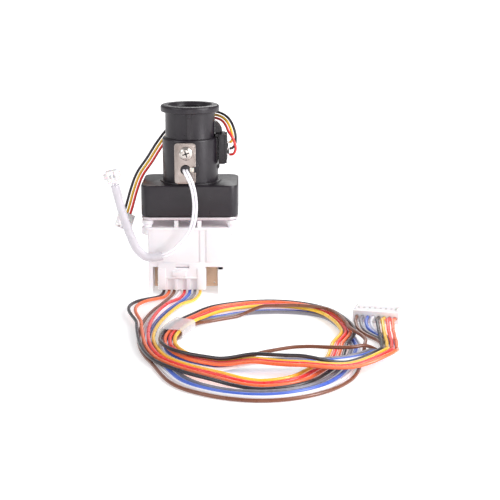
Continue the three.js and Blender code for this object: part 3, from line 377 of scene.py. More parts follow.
SLEEVE_WIDTH, SLEEVE_HEIGHT, SLEEVE_WALL, SLEEVE_CORNER = 0.0108, 0.005, 0.00045, 0.0017
OVER_FIRST_PASS = (0.438, 0.458, 0.51, 0.526)
# One wire's swing away from the rest, in metres: from, to, reach
SWINGS = {"K": (0.012, 0.066, 0.007), "O": (0.012, 0.066, 0.0058), "N": (0.44, 0.516, -0.009)}

harness_centre = Route(metres([(*point, WIRE_LOW)[:3] for point in HARNESS_ROUTE]))


def hump(start, full, until, end, distance):
    return smooth(start, full, distance) * (1 - smooth(until, end, distance))


def place_in(arrangement, code):
    """One wire's offset to the outside of the loop, and its height."""
    pitch, rows, raised = arrangement[1], arrangement[2].split(), arrangement[3]
    row = next(i for i, wires in enumerate(rows) if code in wires)
    middle = (len(rows[row]) - 1) / 2
    return (middle - rows[row].index(code)) * pitch, (row + raised.get(code, 0)) * LAYER


def place_across(code, distance):
    for before, after in zip(ARRANGEMENTS, ARRANGEMENTS[1:]):
        if distance < after[0]:
            share = smooth(before[0], after[0], distance)
            first, second = place_in(before, code), place_in(after, code)
            return mix(first[0], second[0], share), mix(first[1], second[1], share)
    return place_in(ARRANGEMENTS[-1], code)


def harness_point(code, distance):
    offset, height = place_across(code, distance)
    height += SLEEVE_LIFT * hump(SLEEVE_FROM - LIFT_STARTS, SLEEVE_FROM - LIFT_FULL, SLEEVE_TO + LIFT_FULL,
                                 SLEEVE_TO + LIFT_STARTS, distance)
    height += 2 * LAYER * hump(*OVER_FIRST_PASS, distance)
    if code in SWINGS:
        start, end, reach = SWINGS[code]
        middle = (start + end) / 2
        offset += reach * smooth(start, middle, distance) * (1 - smooth(middle, end, distance))
    heading = harness_centre.heading(max(distance, SIDEWAYS_FROM))
    sideways = Vector((heading.y, -heading.x, 0)).normalized()
    return harness_centre.at(distance) + sideways * offset + Vector((0, 0, height))


HALL_ROUTE = [
    (20.9, 1.4, 75.5), (19.6, 3.6, 80.6), (16.4, 8, 84.4), (11, 12.6, 85.6), (4, 15, 84.6), (-3.5, 15, 82),
    (-10, 12.6, 78), (-15.8, 9.6, 71.2), (-20.9, 7.4, 63.4), (-25.8, 5, 56.4), (-28.6, 1.6, 49),
    (-30.5, -2.2, 42), (-31.6, -5, 38.4),
]
# Each wire: its place across the route, the first shared step, and the way from its solder joint
HALL_WIRES = {
    "black": (1, 0, [(19.4, 0, 70.4), (20.8, 0.2, 70.6), (22.1, 0.8, 72.4)]),
    "yellow": (0, 0, [(19.4, 0, 73.4), (20.3, 0.4, 73.8)]),
    "red": (-1, 2, [(19.4, 0, 67.4), (21.2, -0.6, 67.7), (22.4, -1.3, 70.2),
                    (21.9, -1.5, 73.4), (20.6, -1.2, 76.4), (18.9, 0.7, 78.7)]),
}
HALL_PITCH = 0.0016

THERMISTOR_ROUTE = [
    (-1.7, -16.8, 62.4), (-1.6, -19, 62.3), (-0.4, -20.6, 60.4), (1.5, -20.8, 56), (2.7, -20.6, 50),
    (2.9, -20.6, 43.5), (1.9, -20.8, 37), (-0.8, -21, 31), (-5, -21.4, 26), (-9.6, -21.8, 22.4),
    (-15.5, -22, 20.6), (-21, -22.2, 20.8), (-25.2, -22.4, 24.4), (-28, -22.6, 30.5), (-30.6, -22.8, 38),
    (-32.8, -23, 46), (-34.6, -23.2, 53.6), (-35.4, -23.4, 57.2),
]
LEAD_APART = LEAD_D * 0.54
LEAD_LEVEL_UNTIL = 0.006
LEAD_SLEEVE_FROM = 0.052
LEAD_SLEEVE_SHORT = 0.001
LEAD_SLEEVE_R = 0.0021
LEAD_SLEEVE_INNER = 0.00176

hall_centre = Route(metres(HALL_ROUTE))
thermistor_centre = Route(metres(THERMISTOR_ROUTE))


def hall_points(across, skip, lead_in):
    """One Hall sensor wire: its own way from the solder joint, then beside the others."""
    count = 24
    shared = []
    for i in range(skip, count + 1):
        distance = hall_centre.length * i / count
        outward = Vector((0, 1, 0)).cross(hall_centre.heading(distance)).normalized()
        shared.append(hall_centre.at(distance) + outward * across * HALL_PITCH)
    own = Route([*metres(lead_in), *shared])
    return sampled(own.at, own.length, LEAD_STEP)


def thermistor_point(side, distance):
    heading = thermistor_centre.heading(distance)
    across = Vector((0, 1, 0)).cross(heading).normalized()
    across = across.lerp(Vector((-1, 0, 0)), 1 - smooth(0, LEAD_LEVEL_UNTIL, distance)).normalized()
    return thermistor_centre.at(distance) + across * side * LEAD_APART


harness_wires = {
    COLOUR_OF[code]: sampled(lambda distance, code=code: harness_point(code, distance), harness_centre.length)
    for code in COLOUR_OF
}
hall_wires = {colour: hall_points(*how) for colour, how in HALL_WIRES.items()}
thermistor_wires = {
    suffix: sampled(lambda distance, side=side: thermistor_point(side, distance), thermistor_centre.length,
                    LEAD_STEP)
    for suffix, side in (("a", -1), ("b", 1))
}


# --- Mesh tools: shapes are made in millimetres about the inlet axis ---

def from_bmesh(working):
    bmesh.ops.recalc_face_normals(working, faces=working.faces)
    data = bpy.data.meshes.new("shape")
    working.to_mesh(data)
    working.free()
    return linked("shape", data)


def soften(corners, steps=6):
    """A closed outline from (a, b, radius) corners: each corner with a radius becomes an arc."""
    outline = []
    count = len(corners)
    for index, (a, b, radius) in enumerate(corners):
        here = Vector((a, b))
        if radius <= 0:
            outline.append((a, b))
            continue
        before = (Vector(corners[index - 1][:2]) - here).normalized()
        after = (Vector(corners[(index + 1) % count][:2]) - here).normalized()
        half = before.angle(after) / 2
        reach = radius / math.tan(half)
        centre = here + (before + after).normalized() * (radius / math.sin(half))
        first = here + before * reach - centre
        last = here + after * reach - centre
        turn = first.angle_signed(last)
        for step in range(steps + 1):
            spoke = first.copy()
            spoke.rotate(Matrix.Rotation(-turn * step / steps, 2))
            outline.append(tuple(centre + spoke))
    return outline


def rounded(left, right, front, back, corner, steps=8):
    corners = ((left, front), (right, front), (right, back), (left, back))
    return soften([(*at, corner) for at in corners], steps)


def place_axis(working, axis, at):
    """Shapes are made along Z; axis turns them to lie along X or Y (outlines keep their first axis)."""
    turns = {
        "z": Matrix.Identity(3),
        "y": Matrix(((1, 0, 0), (0, 0, 1), (0, 1, 0))),
        "x": Matrix(((0, 0, 1), (1, 0, 0), (0, 1, 0))),
    }
    for vertex in working.verts:
        vertex.co = turns[axis] @ vertex.co + Vector(at)


def full_turn(sides):
    return [2 * math.pi * side / sides for side in range(sides)]


def bridge(working, lower, upper):
    """The faces between two rings that have the same number of points."""
    for side in range(len(lower)):
        following = (side + 1) % len(lower)
        working.faces.new((lower[side], lower[following], upper[following], upper[side]))


def lathe(profile, sides=96, axis="z", at=(0, 0, 0)):
    """A closed profile of (radius, height) points turned about the axis."""
    working = bmesh.new()
    rings = []
    for radius, height in profile:
        if radius < 1e-6:
            rings.append([working.verts.new((0, 0, height))])
        else:
            rings.append([working.verts.new((radius * math.cos(turn), radius * math.sin(turn), height))
                          for turn in full_turn(sides)])
    for index, ring in enumerate(rings):
        other = rings[(index + 1) % len(rings)]
        if len(ring) == 1 and len(other) == 1:
            continue
        for side in range(sides):
            following = (side + 1) % sides
            corners = [ring[side % len(ring)], ring[following % len(ring)],
                       other[following % len(other)], other[side % len(other)]]
            working.faces.new(list(dict.fromkeys(corners)))
    place_axis(working, axis, at)
    return from_bmesh(working)


def rod(radius, low, high, at=(0, 0, 0), axis="z", edge=0.15, sides=64, far_radius=None):
    far = radius if far_radius is None else far_radius
    corners = [(0, low, 0), (radius, low, edge), (far, high, edge), (0, high, 0)]
    return lathe(soften(corners, 3), sides, axis, at)


def rods_at_screws(radius, low, high, sides=64):
    return [rod(radius, low, high, (x, y, 0), edge=0, sides=sides) for x, y in SCREW_PLACES]


def prism(outline, low, high, axis="z", edge=0.2, segments=3, at=(0, 0, 0)):
    """An outline extruded along the axis, its two rims rounded by edge."""
    working = bmesh.new()
    bottom = [working.verts.new((a, b, low)) for a, b in outline]
    top = [working.verts.new((a, b, high)) for a, b in outline]
    caps = [working.faces.new(bottom), working.faces.new(top)]
    bridge(working, bottom, top)
    bmesh.ops.recalc_face_normals(working, faces=working.faces)
    if edge > 0:
        rims = {e for cap in caps for e in cap.edges}
        bmesh.ops.bevel(working, geom=list(rims), offset=edge, segments=segments, profile=0.5,
                        affect="EDGES", clamp_overlap=True)
    place_axis(working, axis, at)
    return from_bmesh(working)


def block(left, right, front, back, bottom, top, edge=0.25, segments=3):
    working = bmesh.new()
    bmesh.ops.create_cube(working, size=1)
    size = Vector((right - left, back - front, top - bottom))
    middle = Vector((right + left, back + front, top + bottom)) / 2
    for vertex in working.verts:
        vertex.co = Vector(a * b for a, b in zip(vertex.co, size)) + middle
    if edge > 0:
        bmesh.ops.bevel(working, geom=working.edges[:], offset=edge, segments=segments, profile=0.5,
                        affect="EDGES", clamp_overlap=True)
    return from_bmesh(working)


def settle(shape):
    """Applies the shape's modifiers to its mesh."""
    graph = bpy.context.evaluated_depsgraph_get()
    data = bpy.data.meshes.new_from_object(shape.evaluated_get(graph))
    shape.modifiers.clear()
    shape.data = data
    return shape


def turned(shape, matrix):
    shape.data.transform(matrix)
    return shape


def boolean(shape, others, operation):
    for other in others:
        modifier = shape.modifiers.new("boolean", "BOOLEAN")
        modifier.operation = operation
        modifier.solver = "EXACT"
        modifier.object = other
    settle(shape)
    for other in others:
        bpy.data.objects.remove(other)
    return shape


def join(shape, *others):
    return boolean(shape, others, "UNION")


def cut(shape, *others):
    return boolean(shape, others, "DIFFERENCE")


SHARP_FROM = 32


def piece(shape, name, material, node=None, body="valve"):
    """Puts a finished shape in the frame, in metres, with its material and body, and hides the CAD node it
    stands for.
    """
    shape.name = name
    shape.data.name = name
    shape.data.transform(Matrix.Scale(MM, 4) @ Matrix.Translation((0, AXIS_Y, 0)))
    shape.data.materials.clear()
    shape.data.materials.append(material)
    shape.data.polygons.foreach_set("use_smooth", [True] * len(shape.data.polygons))
    shape.data.set_sharp_from_angle(angle=math.radians(SHARP_FROM))
    bpy.context.view_layer.update()
    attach(shape, body)
    if node:
        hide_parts(node)
    return shape


# --- Valve body ---

def outlet_spigot(x):
    outer, groove = PORT_R, 5.2
    profile = soften([
        (0, 12, 0), (outer, 12, 0), (outer, 23.4, 0.2), (groove, 23.4, 0.1), (groove, 25.6, 0.1),
        (outer, 25.6, 0.2), (outer, 26.8, 0.2), (outer - 0.7, PORT_END, 0.2), (0, PORT_END, 0),
    ], 3)
    collar = lathe(soften([(0, 15, 0), (8, 15, 0), (8, 18.4, 0.5), (0, 18.4, 0)], 4), 72, "y", (x, 0, PORT_Z))
    return join(lathe(profile, 72, "y", (x, 0, PORT_Z)), collar)


def valve_casting():
    tower = lathe(soften([
        (0, BLOCK_TOP - 3, 0), (BARREL_R, BLOCK_TOP - 3, 0), (BARREL_R, BARREL_TOP, 0.9),
        (NECK_R, BARREL_TOP, 0.25), (NECK_R, FLANGE_BOTTOM, 0.35), (FLANGE_R, FLANGE_BOTTOM, 0.5),
        (FLANGE_R, FLANGE_TOP, 1.1), (0, FLANGE_TOP, 0),
    ]), ROUND_SIDES)
    body = prism(rounded(-BLOCK_HALF_X, BLOCK_HALF_X, -BLOCK_HALF_Y, BLOCK_HALF_Y, BLOCK_CORNER),
                 BLOCK_BOTTOM, BLOCK_TOP, edge=0.7, segments=4)
    foot = lathe(soften([(0, 50, 0), (15.2, 50, 0), (15.2, 55.2, 0.3), (0, 55.2, 0)], 3), ROUND_SIDES)
    face = BRACKET["back"] + 0.3
    probe_boss = rod(6.2, face, -6, (PROBE_X + 0.6, 0, PROBE_Z), "y", edge=0.4)
    screw_boss = rod(3.8, face, -8, BRACKET_SCREW_AT, "y", edge=0.4)
    boss_web = block(BRACKET_SCREW_X - 2.4, BRACKET_SCREW_X + 2.4, face + 0.25, -8, PROBE_Z, BRACKET_SCREW_Z,
                     0.2)
    hall_pad = block(8, HALL_CASE["left"] - 0.2, -4.2, 5.2, 64, BARREL_TOP, 0.2)
    hook = prism(soften([(12.4, 59, 0), (14.4, 61.2, 0.3), (14.4, 62.4, 0.3), (12.4, 62.4, 0)], 3), -2, 2.4,
                 "y", edge=0.2)
    parting_rib = block(-0.95, 0.95, -NECK_R - 0.4, -NECK_R + 1, BARREL_TOP - 0.4, FLANGE_BOTTOM + 0.4, 0.15)
    rib_tab = block(-0.95, 0.95, -NECK_R - 1.1, -NECK_R + 1, FLANGE_BOTTOM - 2.2, FLANGE_BOTTOM + 0.3, 0.2)
    rear_rib = block(-0.95, 0.95, NECK_R - 1, NECK_R + 0.4, BARREL_TOP - 0.4, FLANGE_BOTTOM + 0.4, 0.15)
    gussets = [block(x - 0.9, x + 0.9, 8, 16.2, BLOCK_TOP - 1, 62, 0.3) for x in (-7, 7)]
    outside = join(tower, body, foot, probe_boss, screw_boss, boss_web, hall_pad, hook, parting_rib, rib_tab,
                   rear_rib, *gussets, outlet_spigot(-PORT_X), outlet_spigot(PORT_X))
    bore = lathe(soften([
        (0, WEB_TOP, 0), (BORE_R, WEB_TOP, 0.4), (BORE_R, FLANGE_TOP - 1.6, 0.6),
        (BORE_R + 1.3, FLANGE_TOP + 0.3, 0), (0, FLANGE_TOP + 0.3, 0),
    ], 4), ROUND_SIDES)
    recess = lathe([(BORE_R - 2, 89), (BORE_R + 0.5, 89), (BORE_R + 0.5, 90), (BORE_R - 2, 90)], ROUND_SIDES)
    cover_pocket = rod(COVER_POCKET_R, BLOCK_BOTTOM - 1, 42.2, edge=0, sides=96)
    chamber = rod(CHAMBER_R, 41, 54.6, edge=0, sides=96)
    web_hole = rod(5.5, 53, 58, edge=0)
    probe_bore = rod(3.5, -20, -12.6, PROBE_AT, "y", edge=0)
    probe_hole = rod(2.3, -20, -8, PROBE_AT, "y", edge=0, sides=32)
    screw_hole = rod(1.3, -20, -11, BRACKET_SCREW_AT, "y", edge=0, sides=24)
    port_bores = [rod(PORT_BORE_R, 2, PORT_END + 1, (x, 0, PORT_Z), "y", edge=0) for x in (-PORT_X, PORT_X)]
    block_holes = rods_at_screws(SCREW_HOLE_R, BLOCK_BOTTOM - 1, 49, 24)
    return cut(outside, *port_bores, bore, recess, cover_pocket, chamber, web_hole, probe_bore, probe_hole,
               screw_hole, *block_holes)


def tube_ring(centre_r, section_r, at, axis="z", sides=72):
    profile = [(centre_r + section_r * math.cos(turn), section_r * math.sin(turn)) for turn in full_turn(16)]
    return lathe(profile, sides, axis, at)


def bearing_spider(low, high):
    rim = lathe(soften([(BORE_R - 1.2, low, 0.2), (BORE_R - 0.2, low, 0.2), (BORE_R - 0.2, high, 0.2),
                        (BORE_R - 1.2, high, 0.2)], 3), 96)
    hub = rod(2.3, low, high, edge=0.5)
    arms = [turned(block(0.6, BORE_R - 0.7, -0.65, 0.65, low + 0.1, high - 0.1, 0.25),
                   Matrix.Rotation(math.pi / 2 + step * 2 * math.pi / 3, 4, "Z")) for step in range(3)]
    axle_hole = rod(0.95, low - 1, high - 1, edge=0, sides=32)
    return cut(join(rim, hub, *arms), axle_hole)


def turbine_rotor():
    hub = lathe(soften([(1, 61.6, 0.1), (4.4, 61.6, 0.2), (4.4, 62.6, 0.2), (2.6, 62.6, 0.2), (2.6, 81, 0.6),
                        (1, 81, 0.1)], 4), 64)
    blades = []
    slices, root, tip, half, height, base = 20, 1.6, 8.6, 0.42, 10, 69.4
    for vane in range(5):
        working = bmesh.new()
        rows = []
        for step in range(slices + 1):
            along = step / slices
            turn = vane * 2 * math.pi / 5 + along * height * math.pi / 30
            spin = Matrix.Rotation(turn, 3, "Z")
            thin = half * (0.45 + 0.55 * math.sin(math.pi * min(max(along, 0.06), 0.94)) ** 0.5)
            rows.append([
                working.verts.new(spin @ Vector((x, y, base + along * height)))
                for x, y in ((root, -thin), (tip, -thin * 0.7), (tip, thin * 0.7), (root, thin))
            ])
        for lower, upper in zip(rows, rows[1:]):
            bridge(working, lower, upper)
        working.faces.new(rows[0])
        working.faces.new(rows[-1])
        blades.append(from_bmesh(working))
    return join(hub, *blades)


piece(valve_casting(), "valve_casting", BLACK, "valve_body")
piece(bearing_spider(82.4, 85.4), "turbine_spider", BLACK_SMOOTH, "upper_bearing_spider")
piece(turbine_rotor(), "turbine_rotor", ACETAL, "flow_turbine", body="turbine")
for side, x in (("left", -PORT_X), ("right", PORT_X)):
    seal = tube_ring(6.1, 0.75, (x, 24.5, PORT_Z), "y")
    piece(seal, f"outlet_ring_{side}", RUBBER, f"outlet_seal_{side}")


# --- Mounting plate, gear housing and board ---

def plate():
    half_x, half_y = BLOCK_HALF_X - 0.1, BLOCK_HALF_Y - 0.2
    sheet = prism(rounded(-half_x, half_x, -half_y, half_y, BLOCK_CORNER, 10), PLATE_BOTTOM, PLATE_TOP,
                  edge=0.55, segments=4)
    holes = rods_at_screws(1.5, 36, 41, 24)
    return cut(sheet, rod(4.8, 36, 41, edge=0), *holes)


def screw_ear(x, y):
    """A screw post with a collar at its top and another where it meets the housing."""
    return lathe(soften([
        (0, 30.4, 0), (2.95, 30.4, 0), (2.95, 33.9, 0.3), (2.15, 33.9, 0.2), (2.15, 35.4, 0.2),
        (2.75, 35.4, 0.3), (2.75, PLATE_BOTTOM - 0.2, 0.3), (0, PLATE_BOTTOM - 0.2, 0),
    ], 3), 56, "z", (x, y, 0))


def housing():
    left, right, front, back, wall = HOUSING.values()
    shell = block(left, right, front, back, HOUSING_FLOOR, HOUSING_TOP, 0.7, 4)
    standoffs = [block(x - 1, x + 1, y, y + 2.6, 33, PLATE_BOTTOM - 0.2, 0.2)
                 for x in (-6.5, 4.7) for y in (front + 0.4, back - 3)]
    boss = rod(5.6, 33, 36.6, edge=0.4)
    step = block(8, right - 0.3, front - 0.4, front + 1, 16.6, HOUSING_TOP - 0.6, 0.25)
    legs = [block(*leg, front, back, 0, HOUSING_FLOOR + 1, 0.3) for leg in (LEFT_LEG, RIGHT_LEG)]
    tie = block(LEFT_LEG[0], RIGHT_LEG[1], back - 1.8, back, 4, HOUSING_FLOOR + 1, 0.3)
    sill = block(RIGHT_LEG[0], right, front, back, HOUSING_FLOOR - 1.4, HOUSING_FLOOR + 0.4, 0.3)
    side_ribs = [block(edge - 0.5, edge + 0.5, y - 0.6, y + 0.6, HOUSING_FLOOR + 2, HOUSING_TOP - 1.5, 0.2)
                 for edge in (left, right) for y in (-6, 0, 6)]
    back_ribs = [block(x - 0.6, x + 0.6, back - 0.5, back + 0.5, 6, HOUSING_TOP - 2, 0.2)
                 for x in (-12.5, -4.5, 4.5, 12.5)]
    shelf = block(left - 0.15, right + 0.15, front - 0.3, back + 0.15, HOUSING_TOP - 1.3, HOUSING_TOP - 0.1,
                  0.15)
    ears = [screw_ear(x, y) for x, y in SCREW_PLACES]
    outside = join(shell, boss, step, *legs, tie, sill, shelf, *side_ribs, *back_ribs, *ears, *standoffs)
    cavity = block(left + wall, right - wall, front + wall, back - wall, HOUSING_FLOOR - 1,
                   HOUSING_TOP - wall, 0)
    cavity = cut(cavity, *rods_at_screws(4.2, HOUSING_FLOOR - 2, HOUSING_TOP))
    ways = rods_at_screws(2.6, -1, 31.3, 40)
    screw_holes = rods_at_screws(SCREW_HOLE_R, 30, 40, 24)
    groove = block(4.3, 5.1, front - 1, front + 0.5, 16.6, HOUSING_TOP - 1.6, 0)
    shaft_hole = rod(3.4, 31, 38, edge=0)
    under_boss = rod(4.6, 31, 33.2, edge=0)
    return cut(outside, cavity, groove, shaft_hole, under_boss, *ways, *screw_holes)


def board():
    left, right, front, thick, bottom, top = BOARD.values()
    outline = rounded(left, right, bottom, top, 0.4, 3)
    card = prism(outline, front, front + thick, "y", edge=0.08, segments=2)
    holes = [rod(0.45, front - 1, front + thick + 1, (x, 0, 3.2), "y", edge=0, sides=20)
             for x in (-16.8, 11.6)]
    return cut(card, *holes)


PIN_COUNT, PIN_PITCH, PIN_FIRST_X, PIN_Z = 10, 1.9, -12.6, 9.4


def board_joints():
    """Solder joints of the header's pins on the board's back."""
    back = BOARD["front"] + BOARD["thick"]
    return join(*(rod(0.7, back - 0.05, back + 0.55, (PIN_FIRST_X + pin * PIN_PITCH, 0, PIN_Z), "y", edge=0,
                      sides=24, far_radius=0.3) for pin in range(PIN_COUNT)))


def header_socket():
    shell = block(-13.6, 5.4, -8, BOARD["front"] - 0.2, 5.6, 13.2, 0.25)
    return cut(shell, block(-12.6, 4.4, -9, BOARD["front"] - 1.2, 6.6, 12.2, 0))


def plug():
    """The harness plug: a block with a latch, three front pockets and a wire slot below."""
    left, right, front, back, bottom, top = PLUG.values()
    shell = prism(rounded(left, right, bottom, HOUSING_FLOOR - 0.3, 1.2, 5), front, back, "y", edge=0.35)
    riser = block(left + 0.2, right - 0.2, front, HOUSING["front"] - 0.1, HOUSING_FLOOR - 1.2, top, 0.12)
    left_cheek = block(left + 0.2, -11.9, front - 0.45, front + 1, bottom + 0.4, HOUSING_FLOOR - 0.4, 0.25)
    right_cheek = block(3.5, right - 0.2, front - 0.45, front + 1, bottom + 0.5, HOUSING_FLOOR - 0.4, 0.25)
    top_rail = block(-11.9, 3.6, front - 0.3, front + 1, 8.4, 9.2, 0.12)
    latch_bar = block(-8.6, -1.9, front - 0.75, front + 0.6, 9.6, 12.1, 0.25)
    latch_stem = block(-6.9, -3.6, front - 0.6, front + 0.6, 8.5, 10.2, 0.2)
    latch_root = block(-6.4, -1.2, front - 0.35, front + 0.6, 11.8, 13.1, 0.15)
    outside = join(shell, riser, left_cheek, right_cheek, top_rail, latch_bar, latch_stem, latch_root)
    pockets = [block(low, high, front - 1, front + 1.1, bottom - 1, 8.1, 0) for low, high in
               ((-11.2, -7.6), (-6.4, -1.6), (0, 3.3))]
    window = block(-7, -0.4, front - 1, front + 0.4, 13, 15.6, 0)
    wire_slot = block(-14.4, 6.3, front + 1.6, back - 0.8, bottom - 1, 5, 0)
    return cut(outside, *pockets, window, wire_slot)


piece(plate(), "bearing_plate", PLATE, "mounting_plate")
piece(housing(), "housing_shell", WHITE, "gear_housing")
piece(board(), "board_card", TAN_BOARD, "circuit_board")
piece(board_joints(), "board_solder", SOLDER)
piece(header_socket(), "header_socket", NYLON, "board_header")
piece(plug(), "plug_block", WHITE, "harness_plug")


# --- Thermistor and Hall sensor ---

def bracket():
    left, right, bottom, top, back, thick = BRACKET.values()
    sheet = prism(rounded(left, right, bottom, top, 1.6, 8), back - thick, back, "y", edge=0.18, segments=2)
    lip = block(right - 0.85, right, back - thick - 0.9, back - 0.2, bottom + 2, top - 2, 0.3)
    notch = block(right - 1.6, right + 1, back - 2.5, back + 3, 61.2, 64, 0)
    probe_hole = rod(2.5, back - 2, back + 2, PROBE_AT, "y", edge=0)
    screw_hole = rod(1.5, back - 2, back + 2, BRACKET_SCREW_AT, "y", edge=0)
    return cut(join(sheet, lip), notch, probe_hole, screw_hole)


CROSS_TURN = 0.35


def cross_arms(half_long, half_wide, low, high):
    """The two crossing bars of a screw's recess."""
    return [turned(block(-half_long, half_long, -half_wide, half_wide, low, high, 0),
                   Matrix.Rotation(turn + CROSS_TURN, 4, "Z")) for turn in (0, math.pi / 2)]


def pan_screw(head_r, head_high, shank_r, shank_long, cross):
    """A cross-recessed pan-head screw, its head up and its seat at height 0."""
    dome = lathe(soften([
        (0, -shank_long, 0), (shank_r * 0.5, -shank_long, 0), (shank_r, -shank_long + shank_r, 0.1),
        (shank_r, 0, 0), (head_r, 0, 0.12), (head_r, head_high * 0.45, head_high * 0.3),
        (head_r * 0.62, head_high, head_high * 0.5), (0, head_high, 0),
    ], 5), 72)
    arms = cross_arms(cross, cross * 0.17, head_high * 0.2, head_high + 1)
    well = rod(cross * 0.26, head_high * 0.1, head_high + 1, edge=0, sides=16, far_radius=cross * 0.42)
    return cut(dome, *arms, well)


def on_bracket(shape):
    seat = BRACKET["back"] - BRACKET["thick"]
    place = Matrix.Translation((BRACKET_SCREW_X, seat, BRACKET_SCREW_Z))
    return turned(shape, place @ Matrix.Rotation(math.pi / 2, 4, "X"))


def bracket_screw():
    return on_bracket(pan_screw(3.3, 1.9, 1.1, 3.4, 1.7))


def painted_recess_shade():
    """A dark insert in the screw's cross recess: painted shade for the shadow deep in the recess."""
    return on_bracket(join(*cross_arms(1.66, 0.27, 0.45, 1.05)))


def probe_tab():
    """The pale tab of the probe that shows in the bracket's notch."""
    front = BRACKET["back"] - BRACKET["thick"]
    return block(PROBE_X + 2.1, PROBE_X + 4.1, front - 0.8, front - 0.03, 61.5, 63.6, 0.2)


def probe():
    """The thermistor's body behind the bracket, and its nose with the two wire ends."""
    back, thick = BRACKET["back"], BRACKET["thick"]
    return lathe(soften([
        (0, back - thick - 0.5, 0), (2.25, back - thick - 0.5, 0.35), (2.25, back + 0.15, 0.05),
        (3.2, back + 0.15, 0.1), (3.2, back + 0.9, 0.1), (2, back + 0.9, 0.05), (2, -10, 0.6), (0, -10, 0),
    ], 4), 64, "y", PROBE_AT)


def sensor_case():
    left, right, front, back, bottom, top = HALL_CASE.values()
    shell = block(left, right, front, back, bottom, top, 0.35)
    lip = block(12.3, left + 0.5, front + 1.2, back - 1.2, top - 1.6, top, 0.2)
    rail_low = block(right - 0.3, right + 0.9, front, front + 0.9, bottom + 0.4, top - 0.4, 0.2)
    rail_high = block(right - 0.3, right + 0.9, back - 0.9, back, bottom + 0.4, top - 0.4, 0.2)
    shape = join(shell, lip, rail_low, rail_high)
    return cut(shape, block(left - 1, left + 0.8, front + 2, back - 2, bottom + 2, bottom + 5, 0))


def sensor_card():
    left, right, front, back, bottom, top = HALL_BOARD.values()
    outline = rounded(front, back, bottom, top, 0.5, 4)
    card = prism(outline, left, right, "x", edge=0.08, segments=2)
    chip = block(right - 0.1, right + 0.8, 2.2, 4, 67, 70, 0.12)
    capacitor = block(right - 0.1, right + 0.5, -2.9, -1.9, 71.5, 73.5, 0.12)
    return join(card, chip, capacitor)


def sensor_solder():
    right = HALL_BOARD["right"]
    blobs = [lathe(soften([(0, right - 0.05, 0), (0.85, right - 0.05, 0), (0.45, right + 0.5, 0.15),
                           (0.3, right + 0.75, 0.1), (0, right + 0.75, 0)], 3), 32, "x", (0, 0, z))
             for z in (67.4, 70.4, 73.4)]
    return join(*blobs)


def sensor_clip():
    profile = [(12.3, 78.5, 0), (16, 78.5, 0.3), (15.6, 80.6, 0.6), (14.6, 82.4, 0.8), (13.2, 83.8, 0.5),
               (12.3, 84.2, 0)]
    return prism(soften(profile, 4), -2.4, 2.4, "y", edge=0.25)


piece(bracket(), "bracket_plate", STEEL, "thermistor_bracket")
piece(bracket_screw(), "bracket_pan_screw", NICKEL, "bracket_screw")
# A dark insert in the bracket screw's recess that paints the shadow there; it is not a real part.
piece(painted_recess_shade(), "bracket_screw_recess_shade", BLACK_SMOOTH)
piece(probe(), "probe_body", BLACK_SMOOTH, "thermistor_probe")
piece(probe_tab(), "probe_tab", ACETAL)
piece(sensor_case(), "sensor_case", BLACK_SMOOTH, "hall_case")
piece(sensor_card(), "sensor_card", DARK_BOARD, "hall_board")
piece(sensor_solder(), "sensor_solder", SOLDER)
piece(sensor_clip(), "sensor_clip", BLACK_SMOOTH, "hall_clip")
for corner, (x, y) in zip(("front_left", "rear_left", "front_right", "rear_right"), SCREW_PLACES):
    flipped = Matrix.Translation((x, y, 31)) @ Matrix.Rotation(math.pi, 4, "X")
    screw = turned(pan_screw(2.2, 1.4, 1.15, 16.4, 1.3), flipped)
    piece(screw, f"block_pan_screw_{corner}", NICKEL, f"block_screw_{corner}")


# --- Connectors and sleeves ---

def connector_frame(at, heading, up):
    """The place of a connector whose wires arrive along heading, in millimetres."""
    forward = Vector(heading).normalized()
    side = forward.cross(Vector(up)).normalized()
    top = side.cross(forward)
    turn = Matrix((side, forward, top)).transposed().to_4x4()
    return Matrix.Translation(Vector(at) / MM) @ turn


def way_places(ways, pitch):
    return [(way - (ways - 1) / 2) * pitch for way in range(ways)]


def connector_housing(ways, pitch, length, thick, wing=0.0):
    half = (ways - 1) * pitch / 2 + 1.9
    shapes = [block(-half, half, 0, length, -thick / 2, thick / 2, 0.3)]
    if wing:
        shapes.append(block(-half - wing, half + wing, length * 0.35, length * 0.8, -thick / 4, thick / 4,
                            0.2))
    rail = thick * 0.1
    for x in (-half + 1.1, half - 1.1):
        shapes.append(block(x - 0.5, x + 0.5, length * 0.2, length - 0.4, thick / 2 - 0.3, thick / 2 + rail,
                            0.12))
    places = way_places(ways, pitch)
    windows = [block(x - pitch * 0.26, x + pitch * 0.26, length - 2.6, length + 1, -thick / 4, thick / 4, 0)
               for x in places]
    entries = [rod(min(pitch * 0.42, 1.0), -1, 1.6, (x, 0, 0), "y", edge=0, sides=32) for x in places]
    latches = [block(x - pitch * 0.22, x + pitch * 0.22, length * 0.45, length * 0.68, thick / 2 - 0.5,
                     thick, 0) for x in places]
    return cut(join(*shapes), *windows, *entries, *latches)


def connector_contacts(ways, pitch, length, thick):
    """The crimped contacts, seen in the mating windows and the latch openings."""
    shapes = []
    for x in way_places(ways, pitch):
        shapes.append(block(x - pitch * 0.18, x + pitch * 0.18, length - 2.5, length - 0.7, -thick * 0.16,
                            thick * 0.16, 0.1))
        shapes.append(block(x - pitch * 0.14, x + pitch * 0.14, length * 0.47, length * 0.66,
                            thick / 2 - 0.48, thick / 2 - 0.25, 0.05))
    return join(*shapes)


def connector(name, node, place, ways, pitch, length, thick, wing=0.0):
    shell = turned(connector_housing(ways, pitch, length, thick, wing), place)
    contacts = turned(connector_contacts(ways, pitch, length, thick), place)
    return [piece(shell, f"{name}_housing", NYLON, node),
            piece(contacts, f"{name}_contacts", SOLDER)]


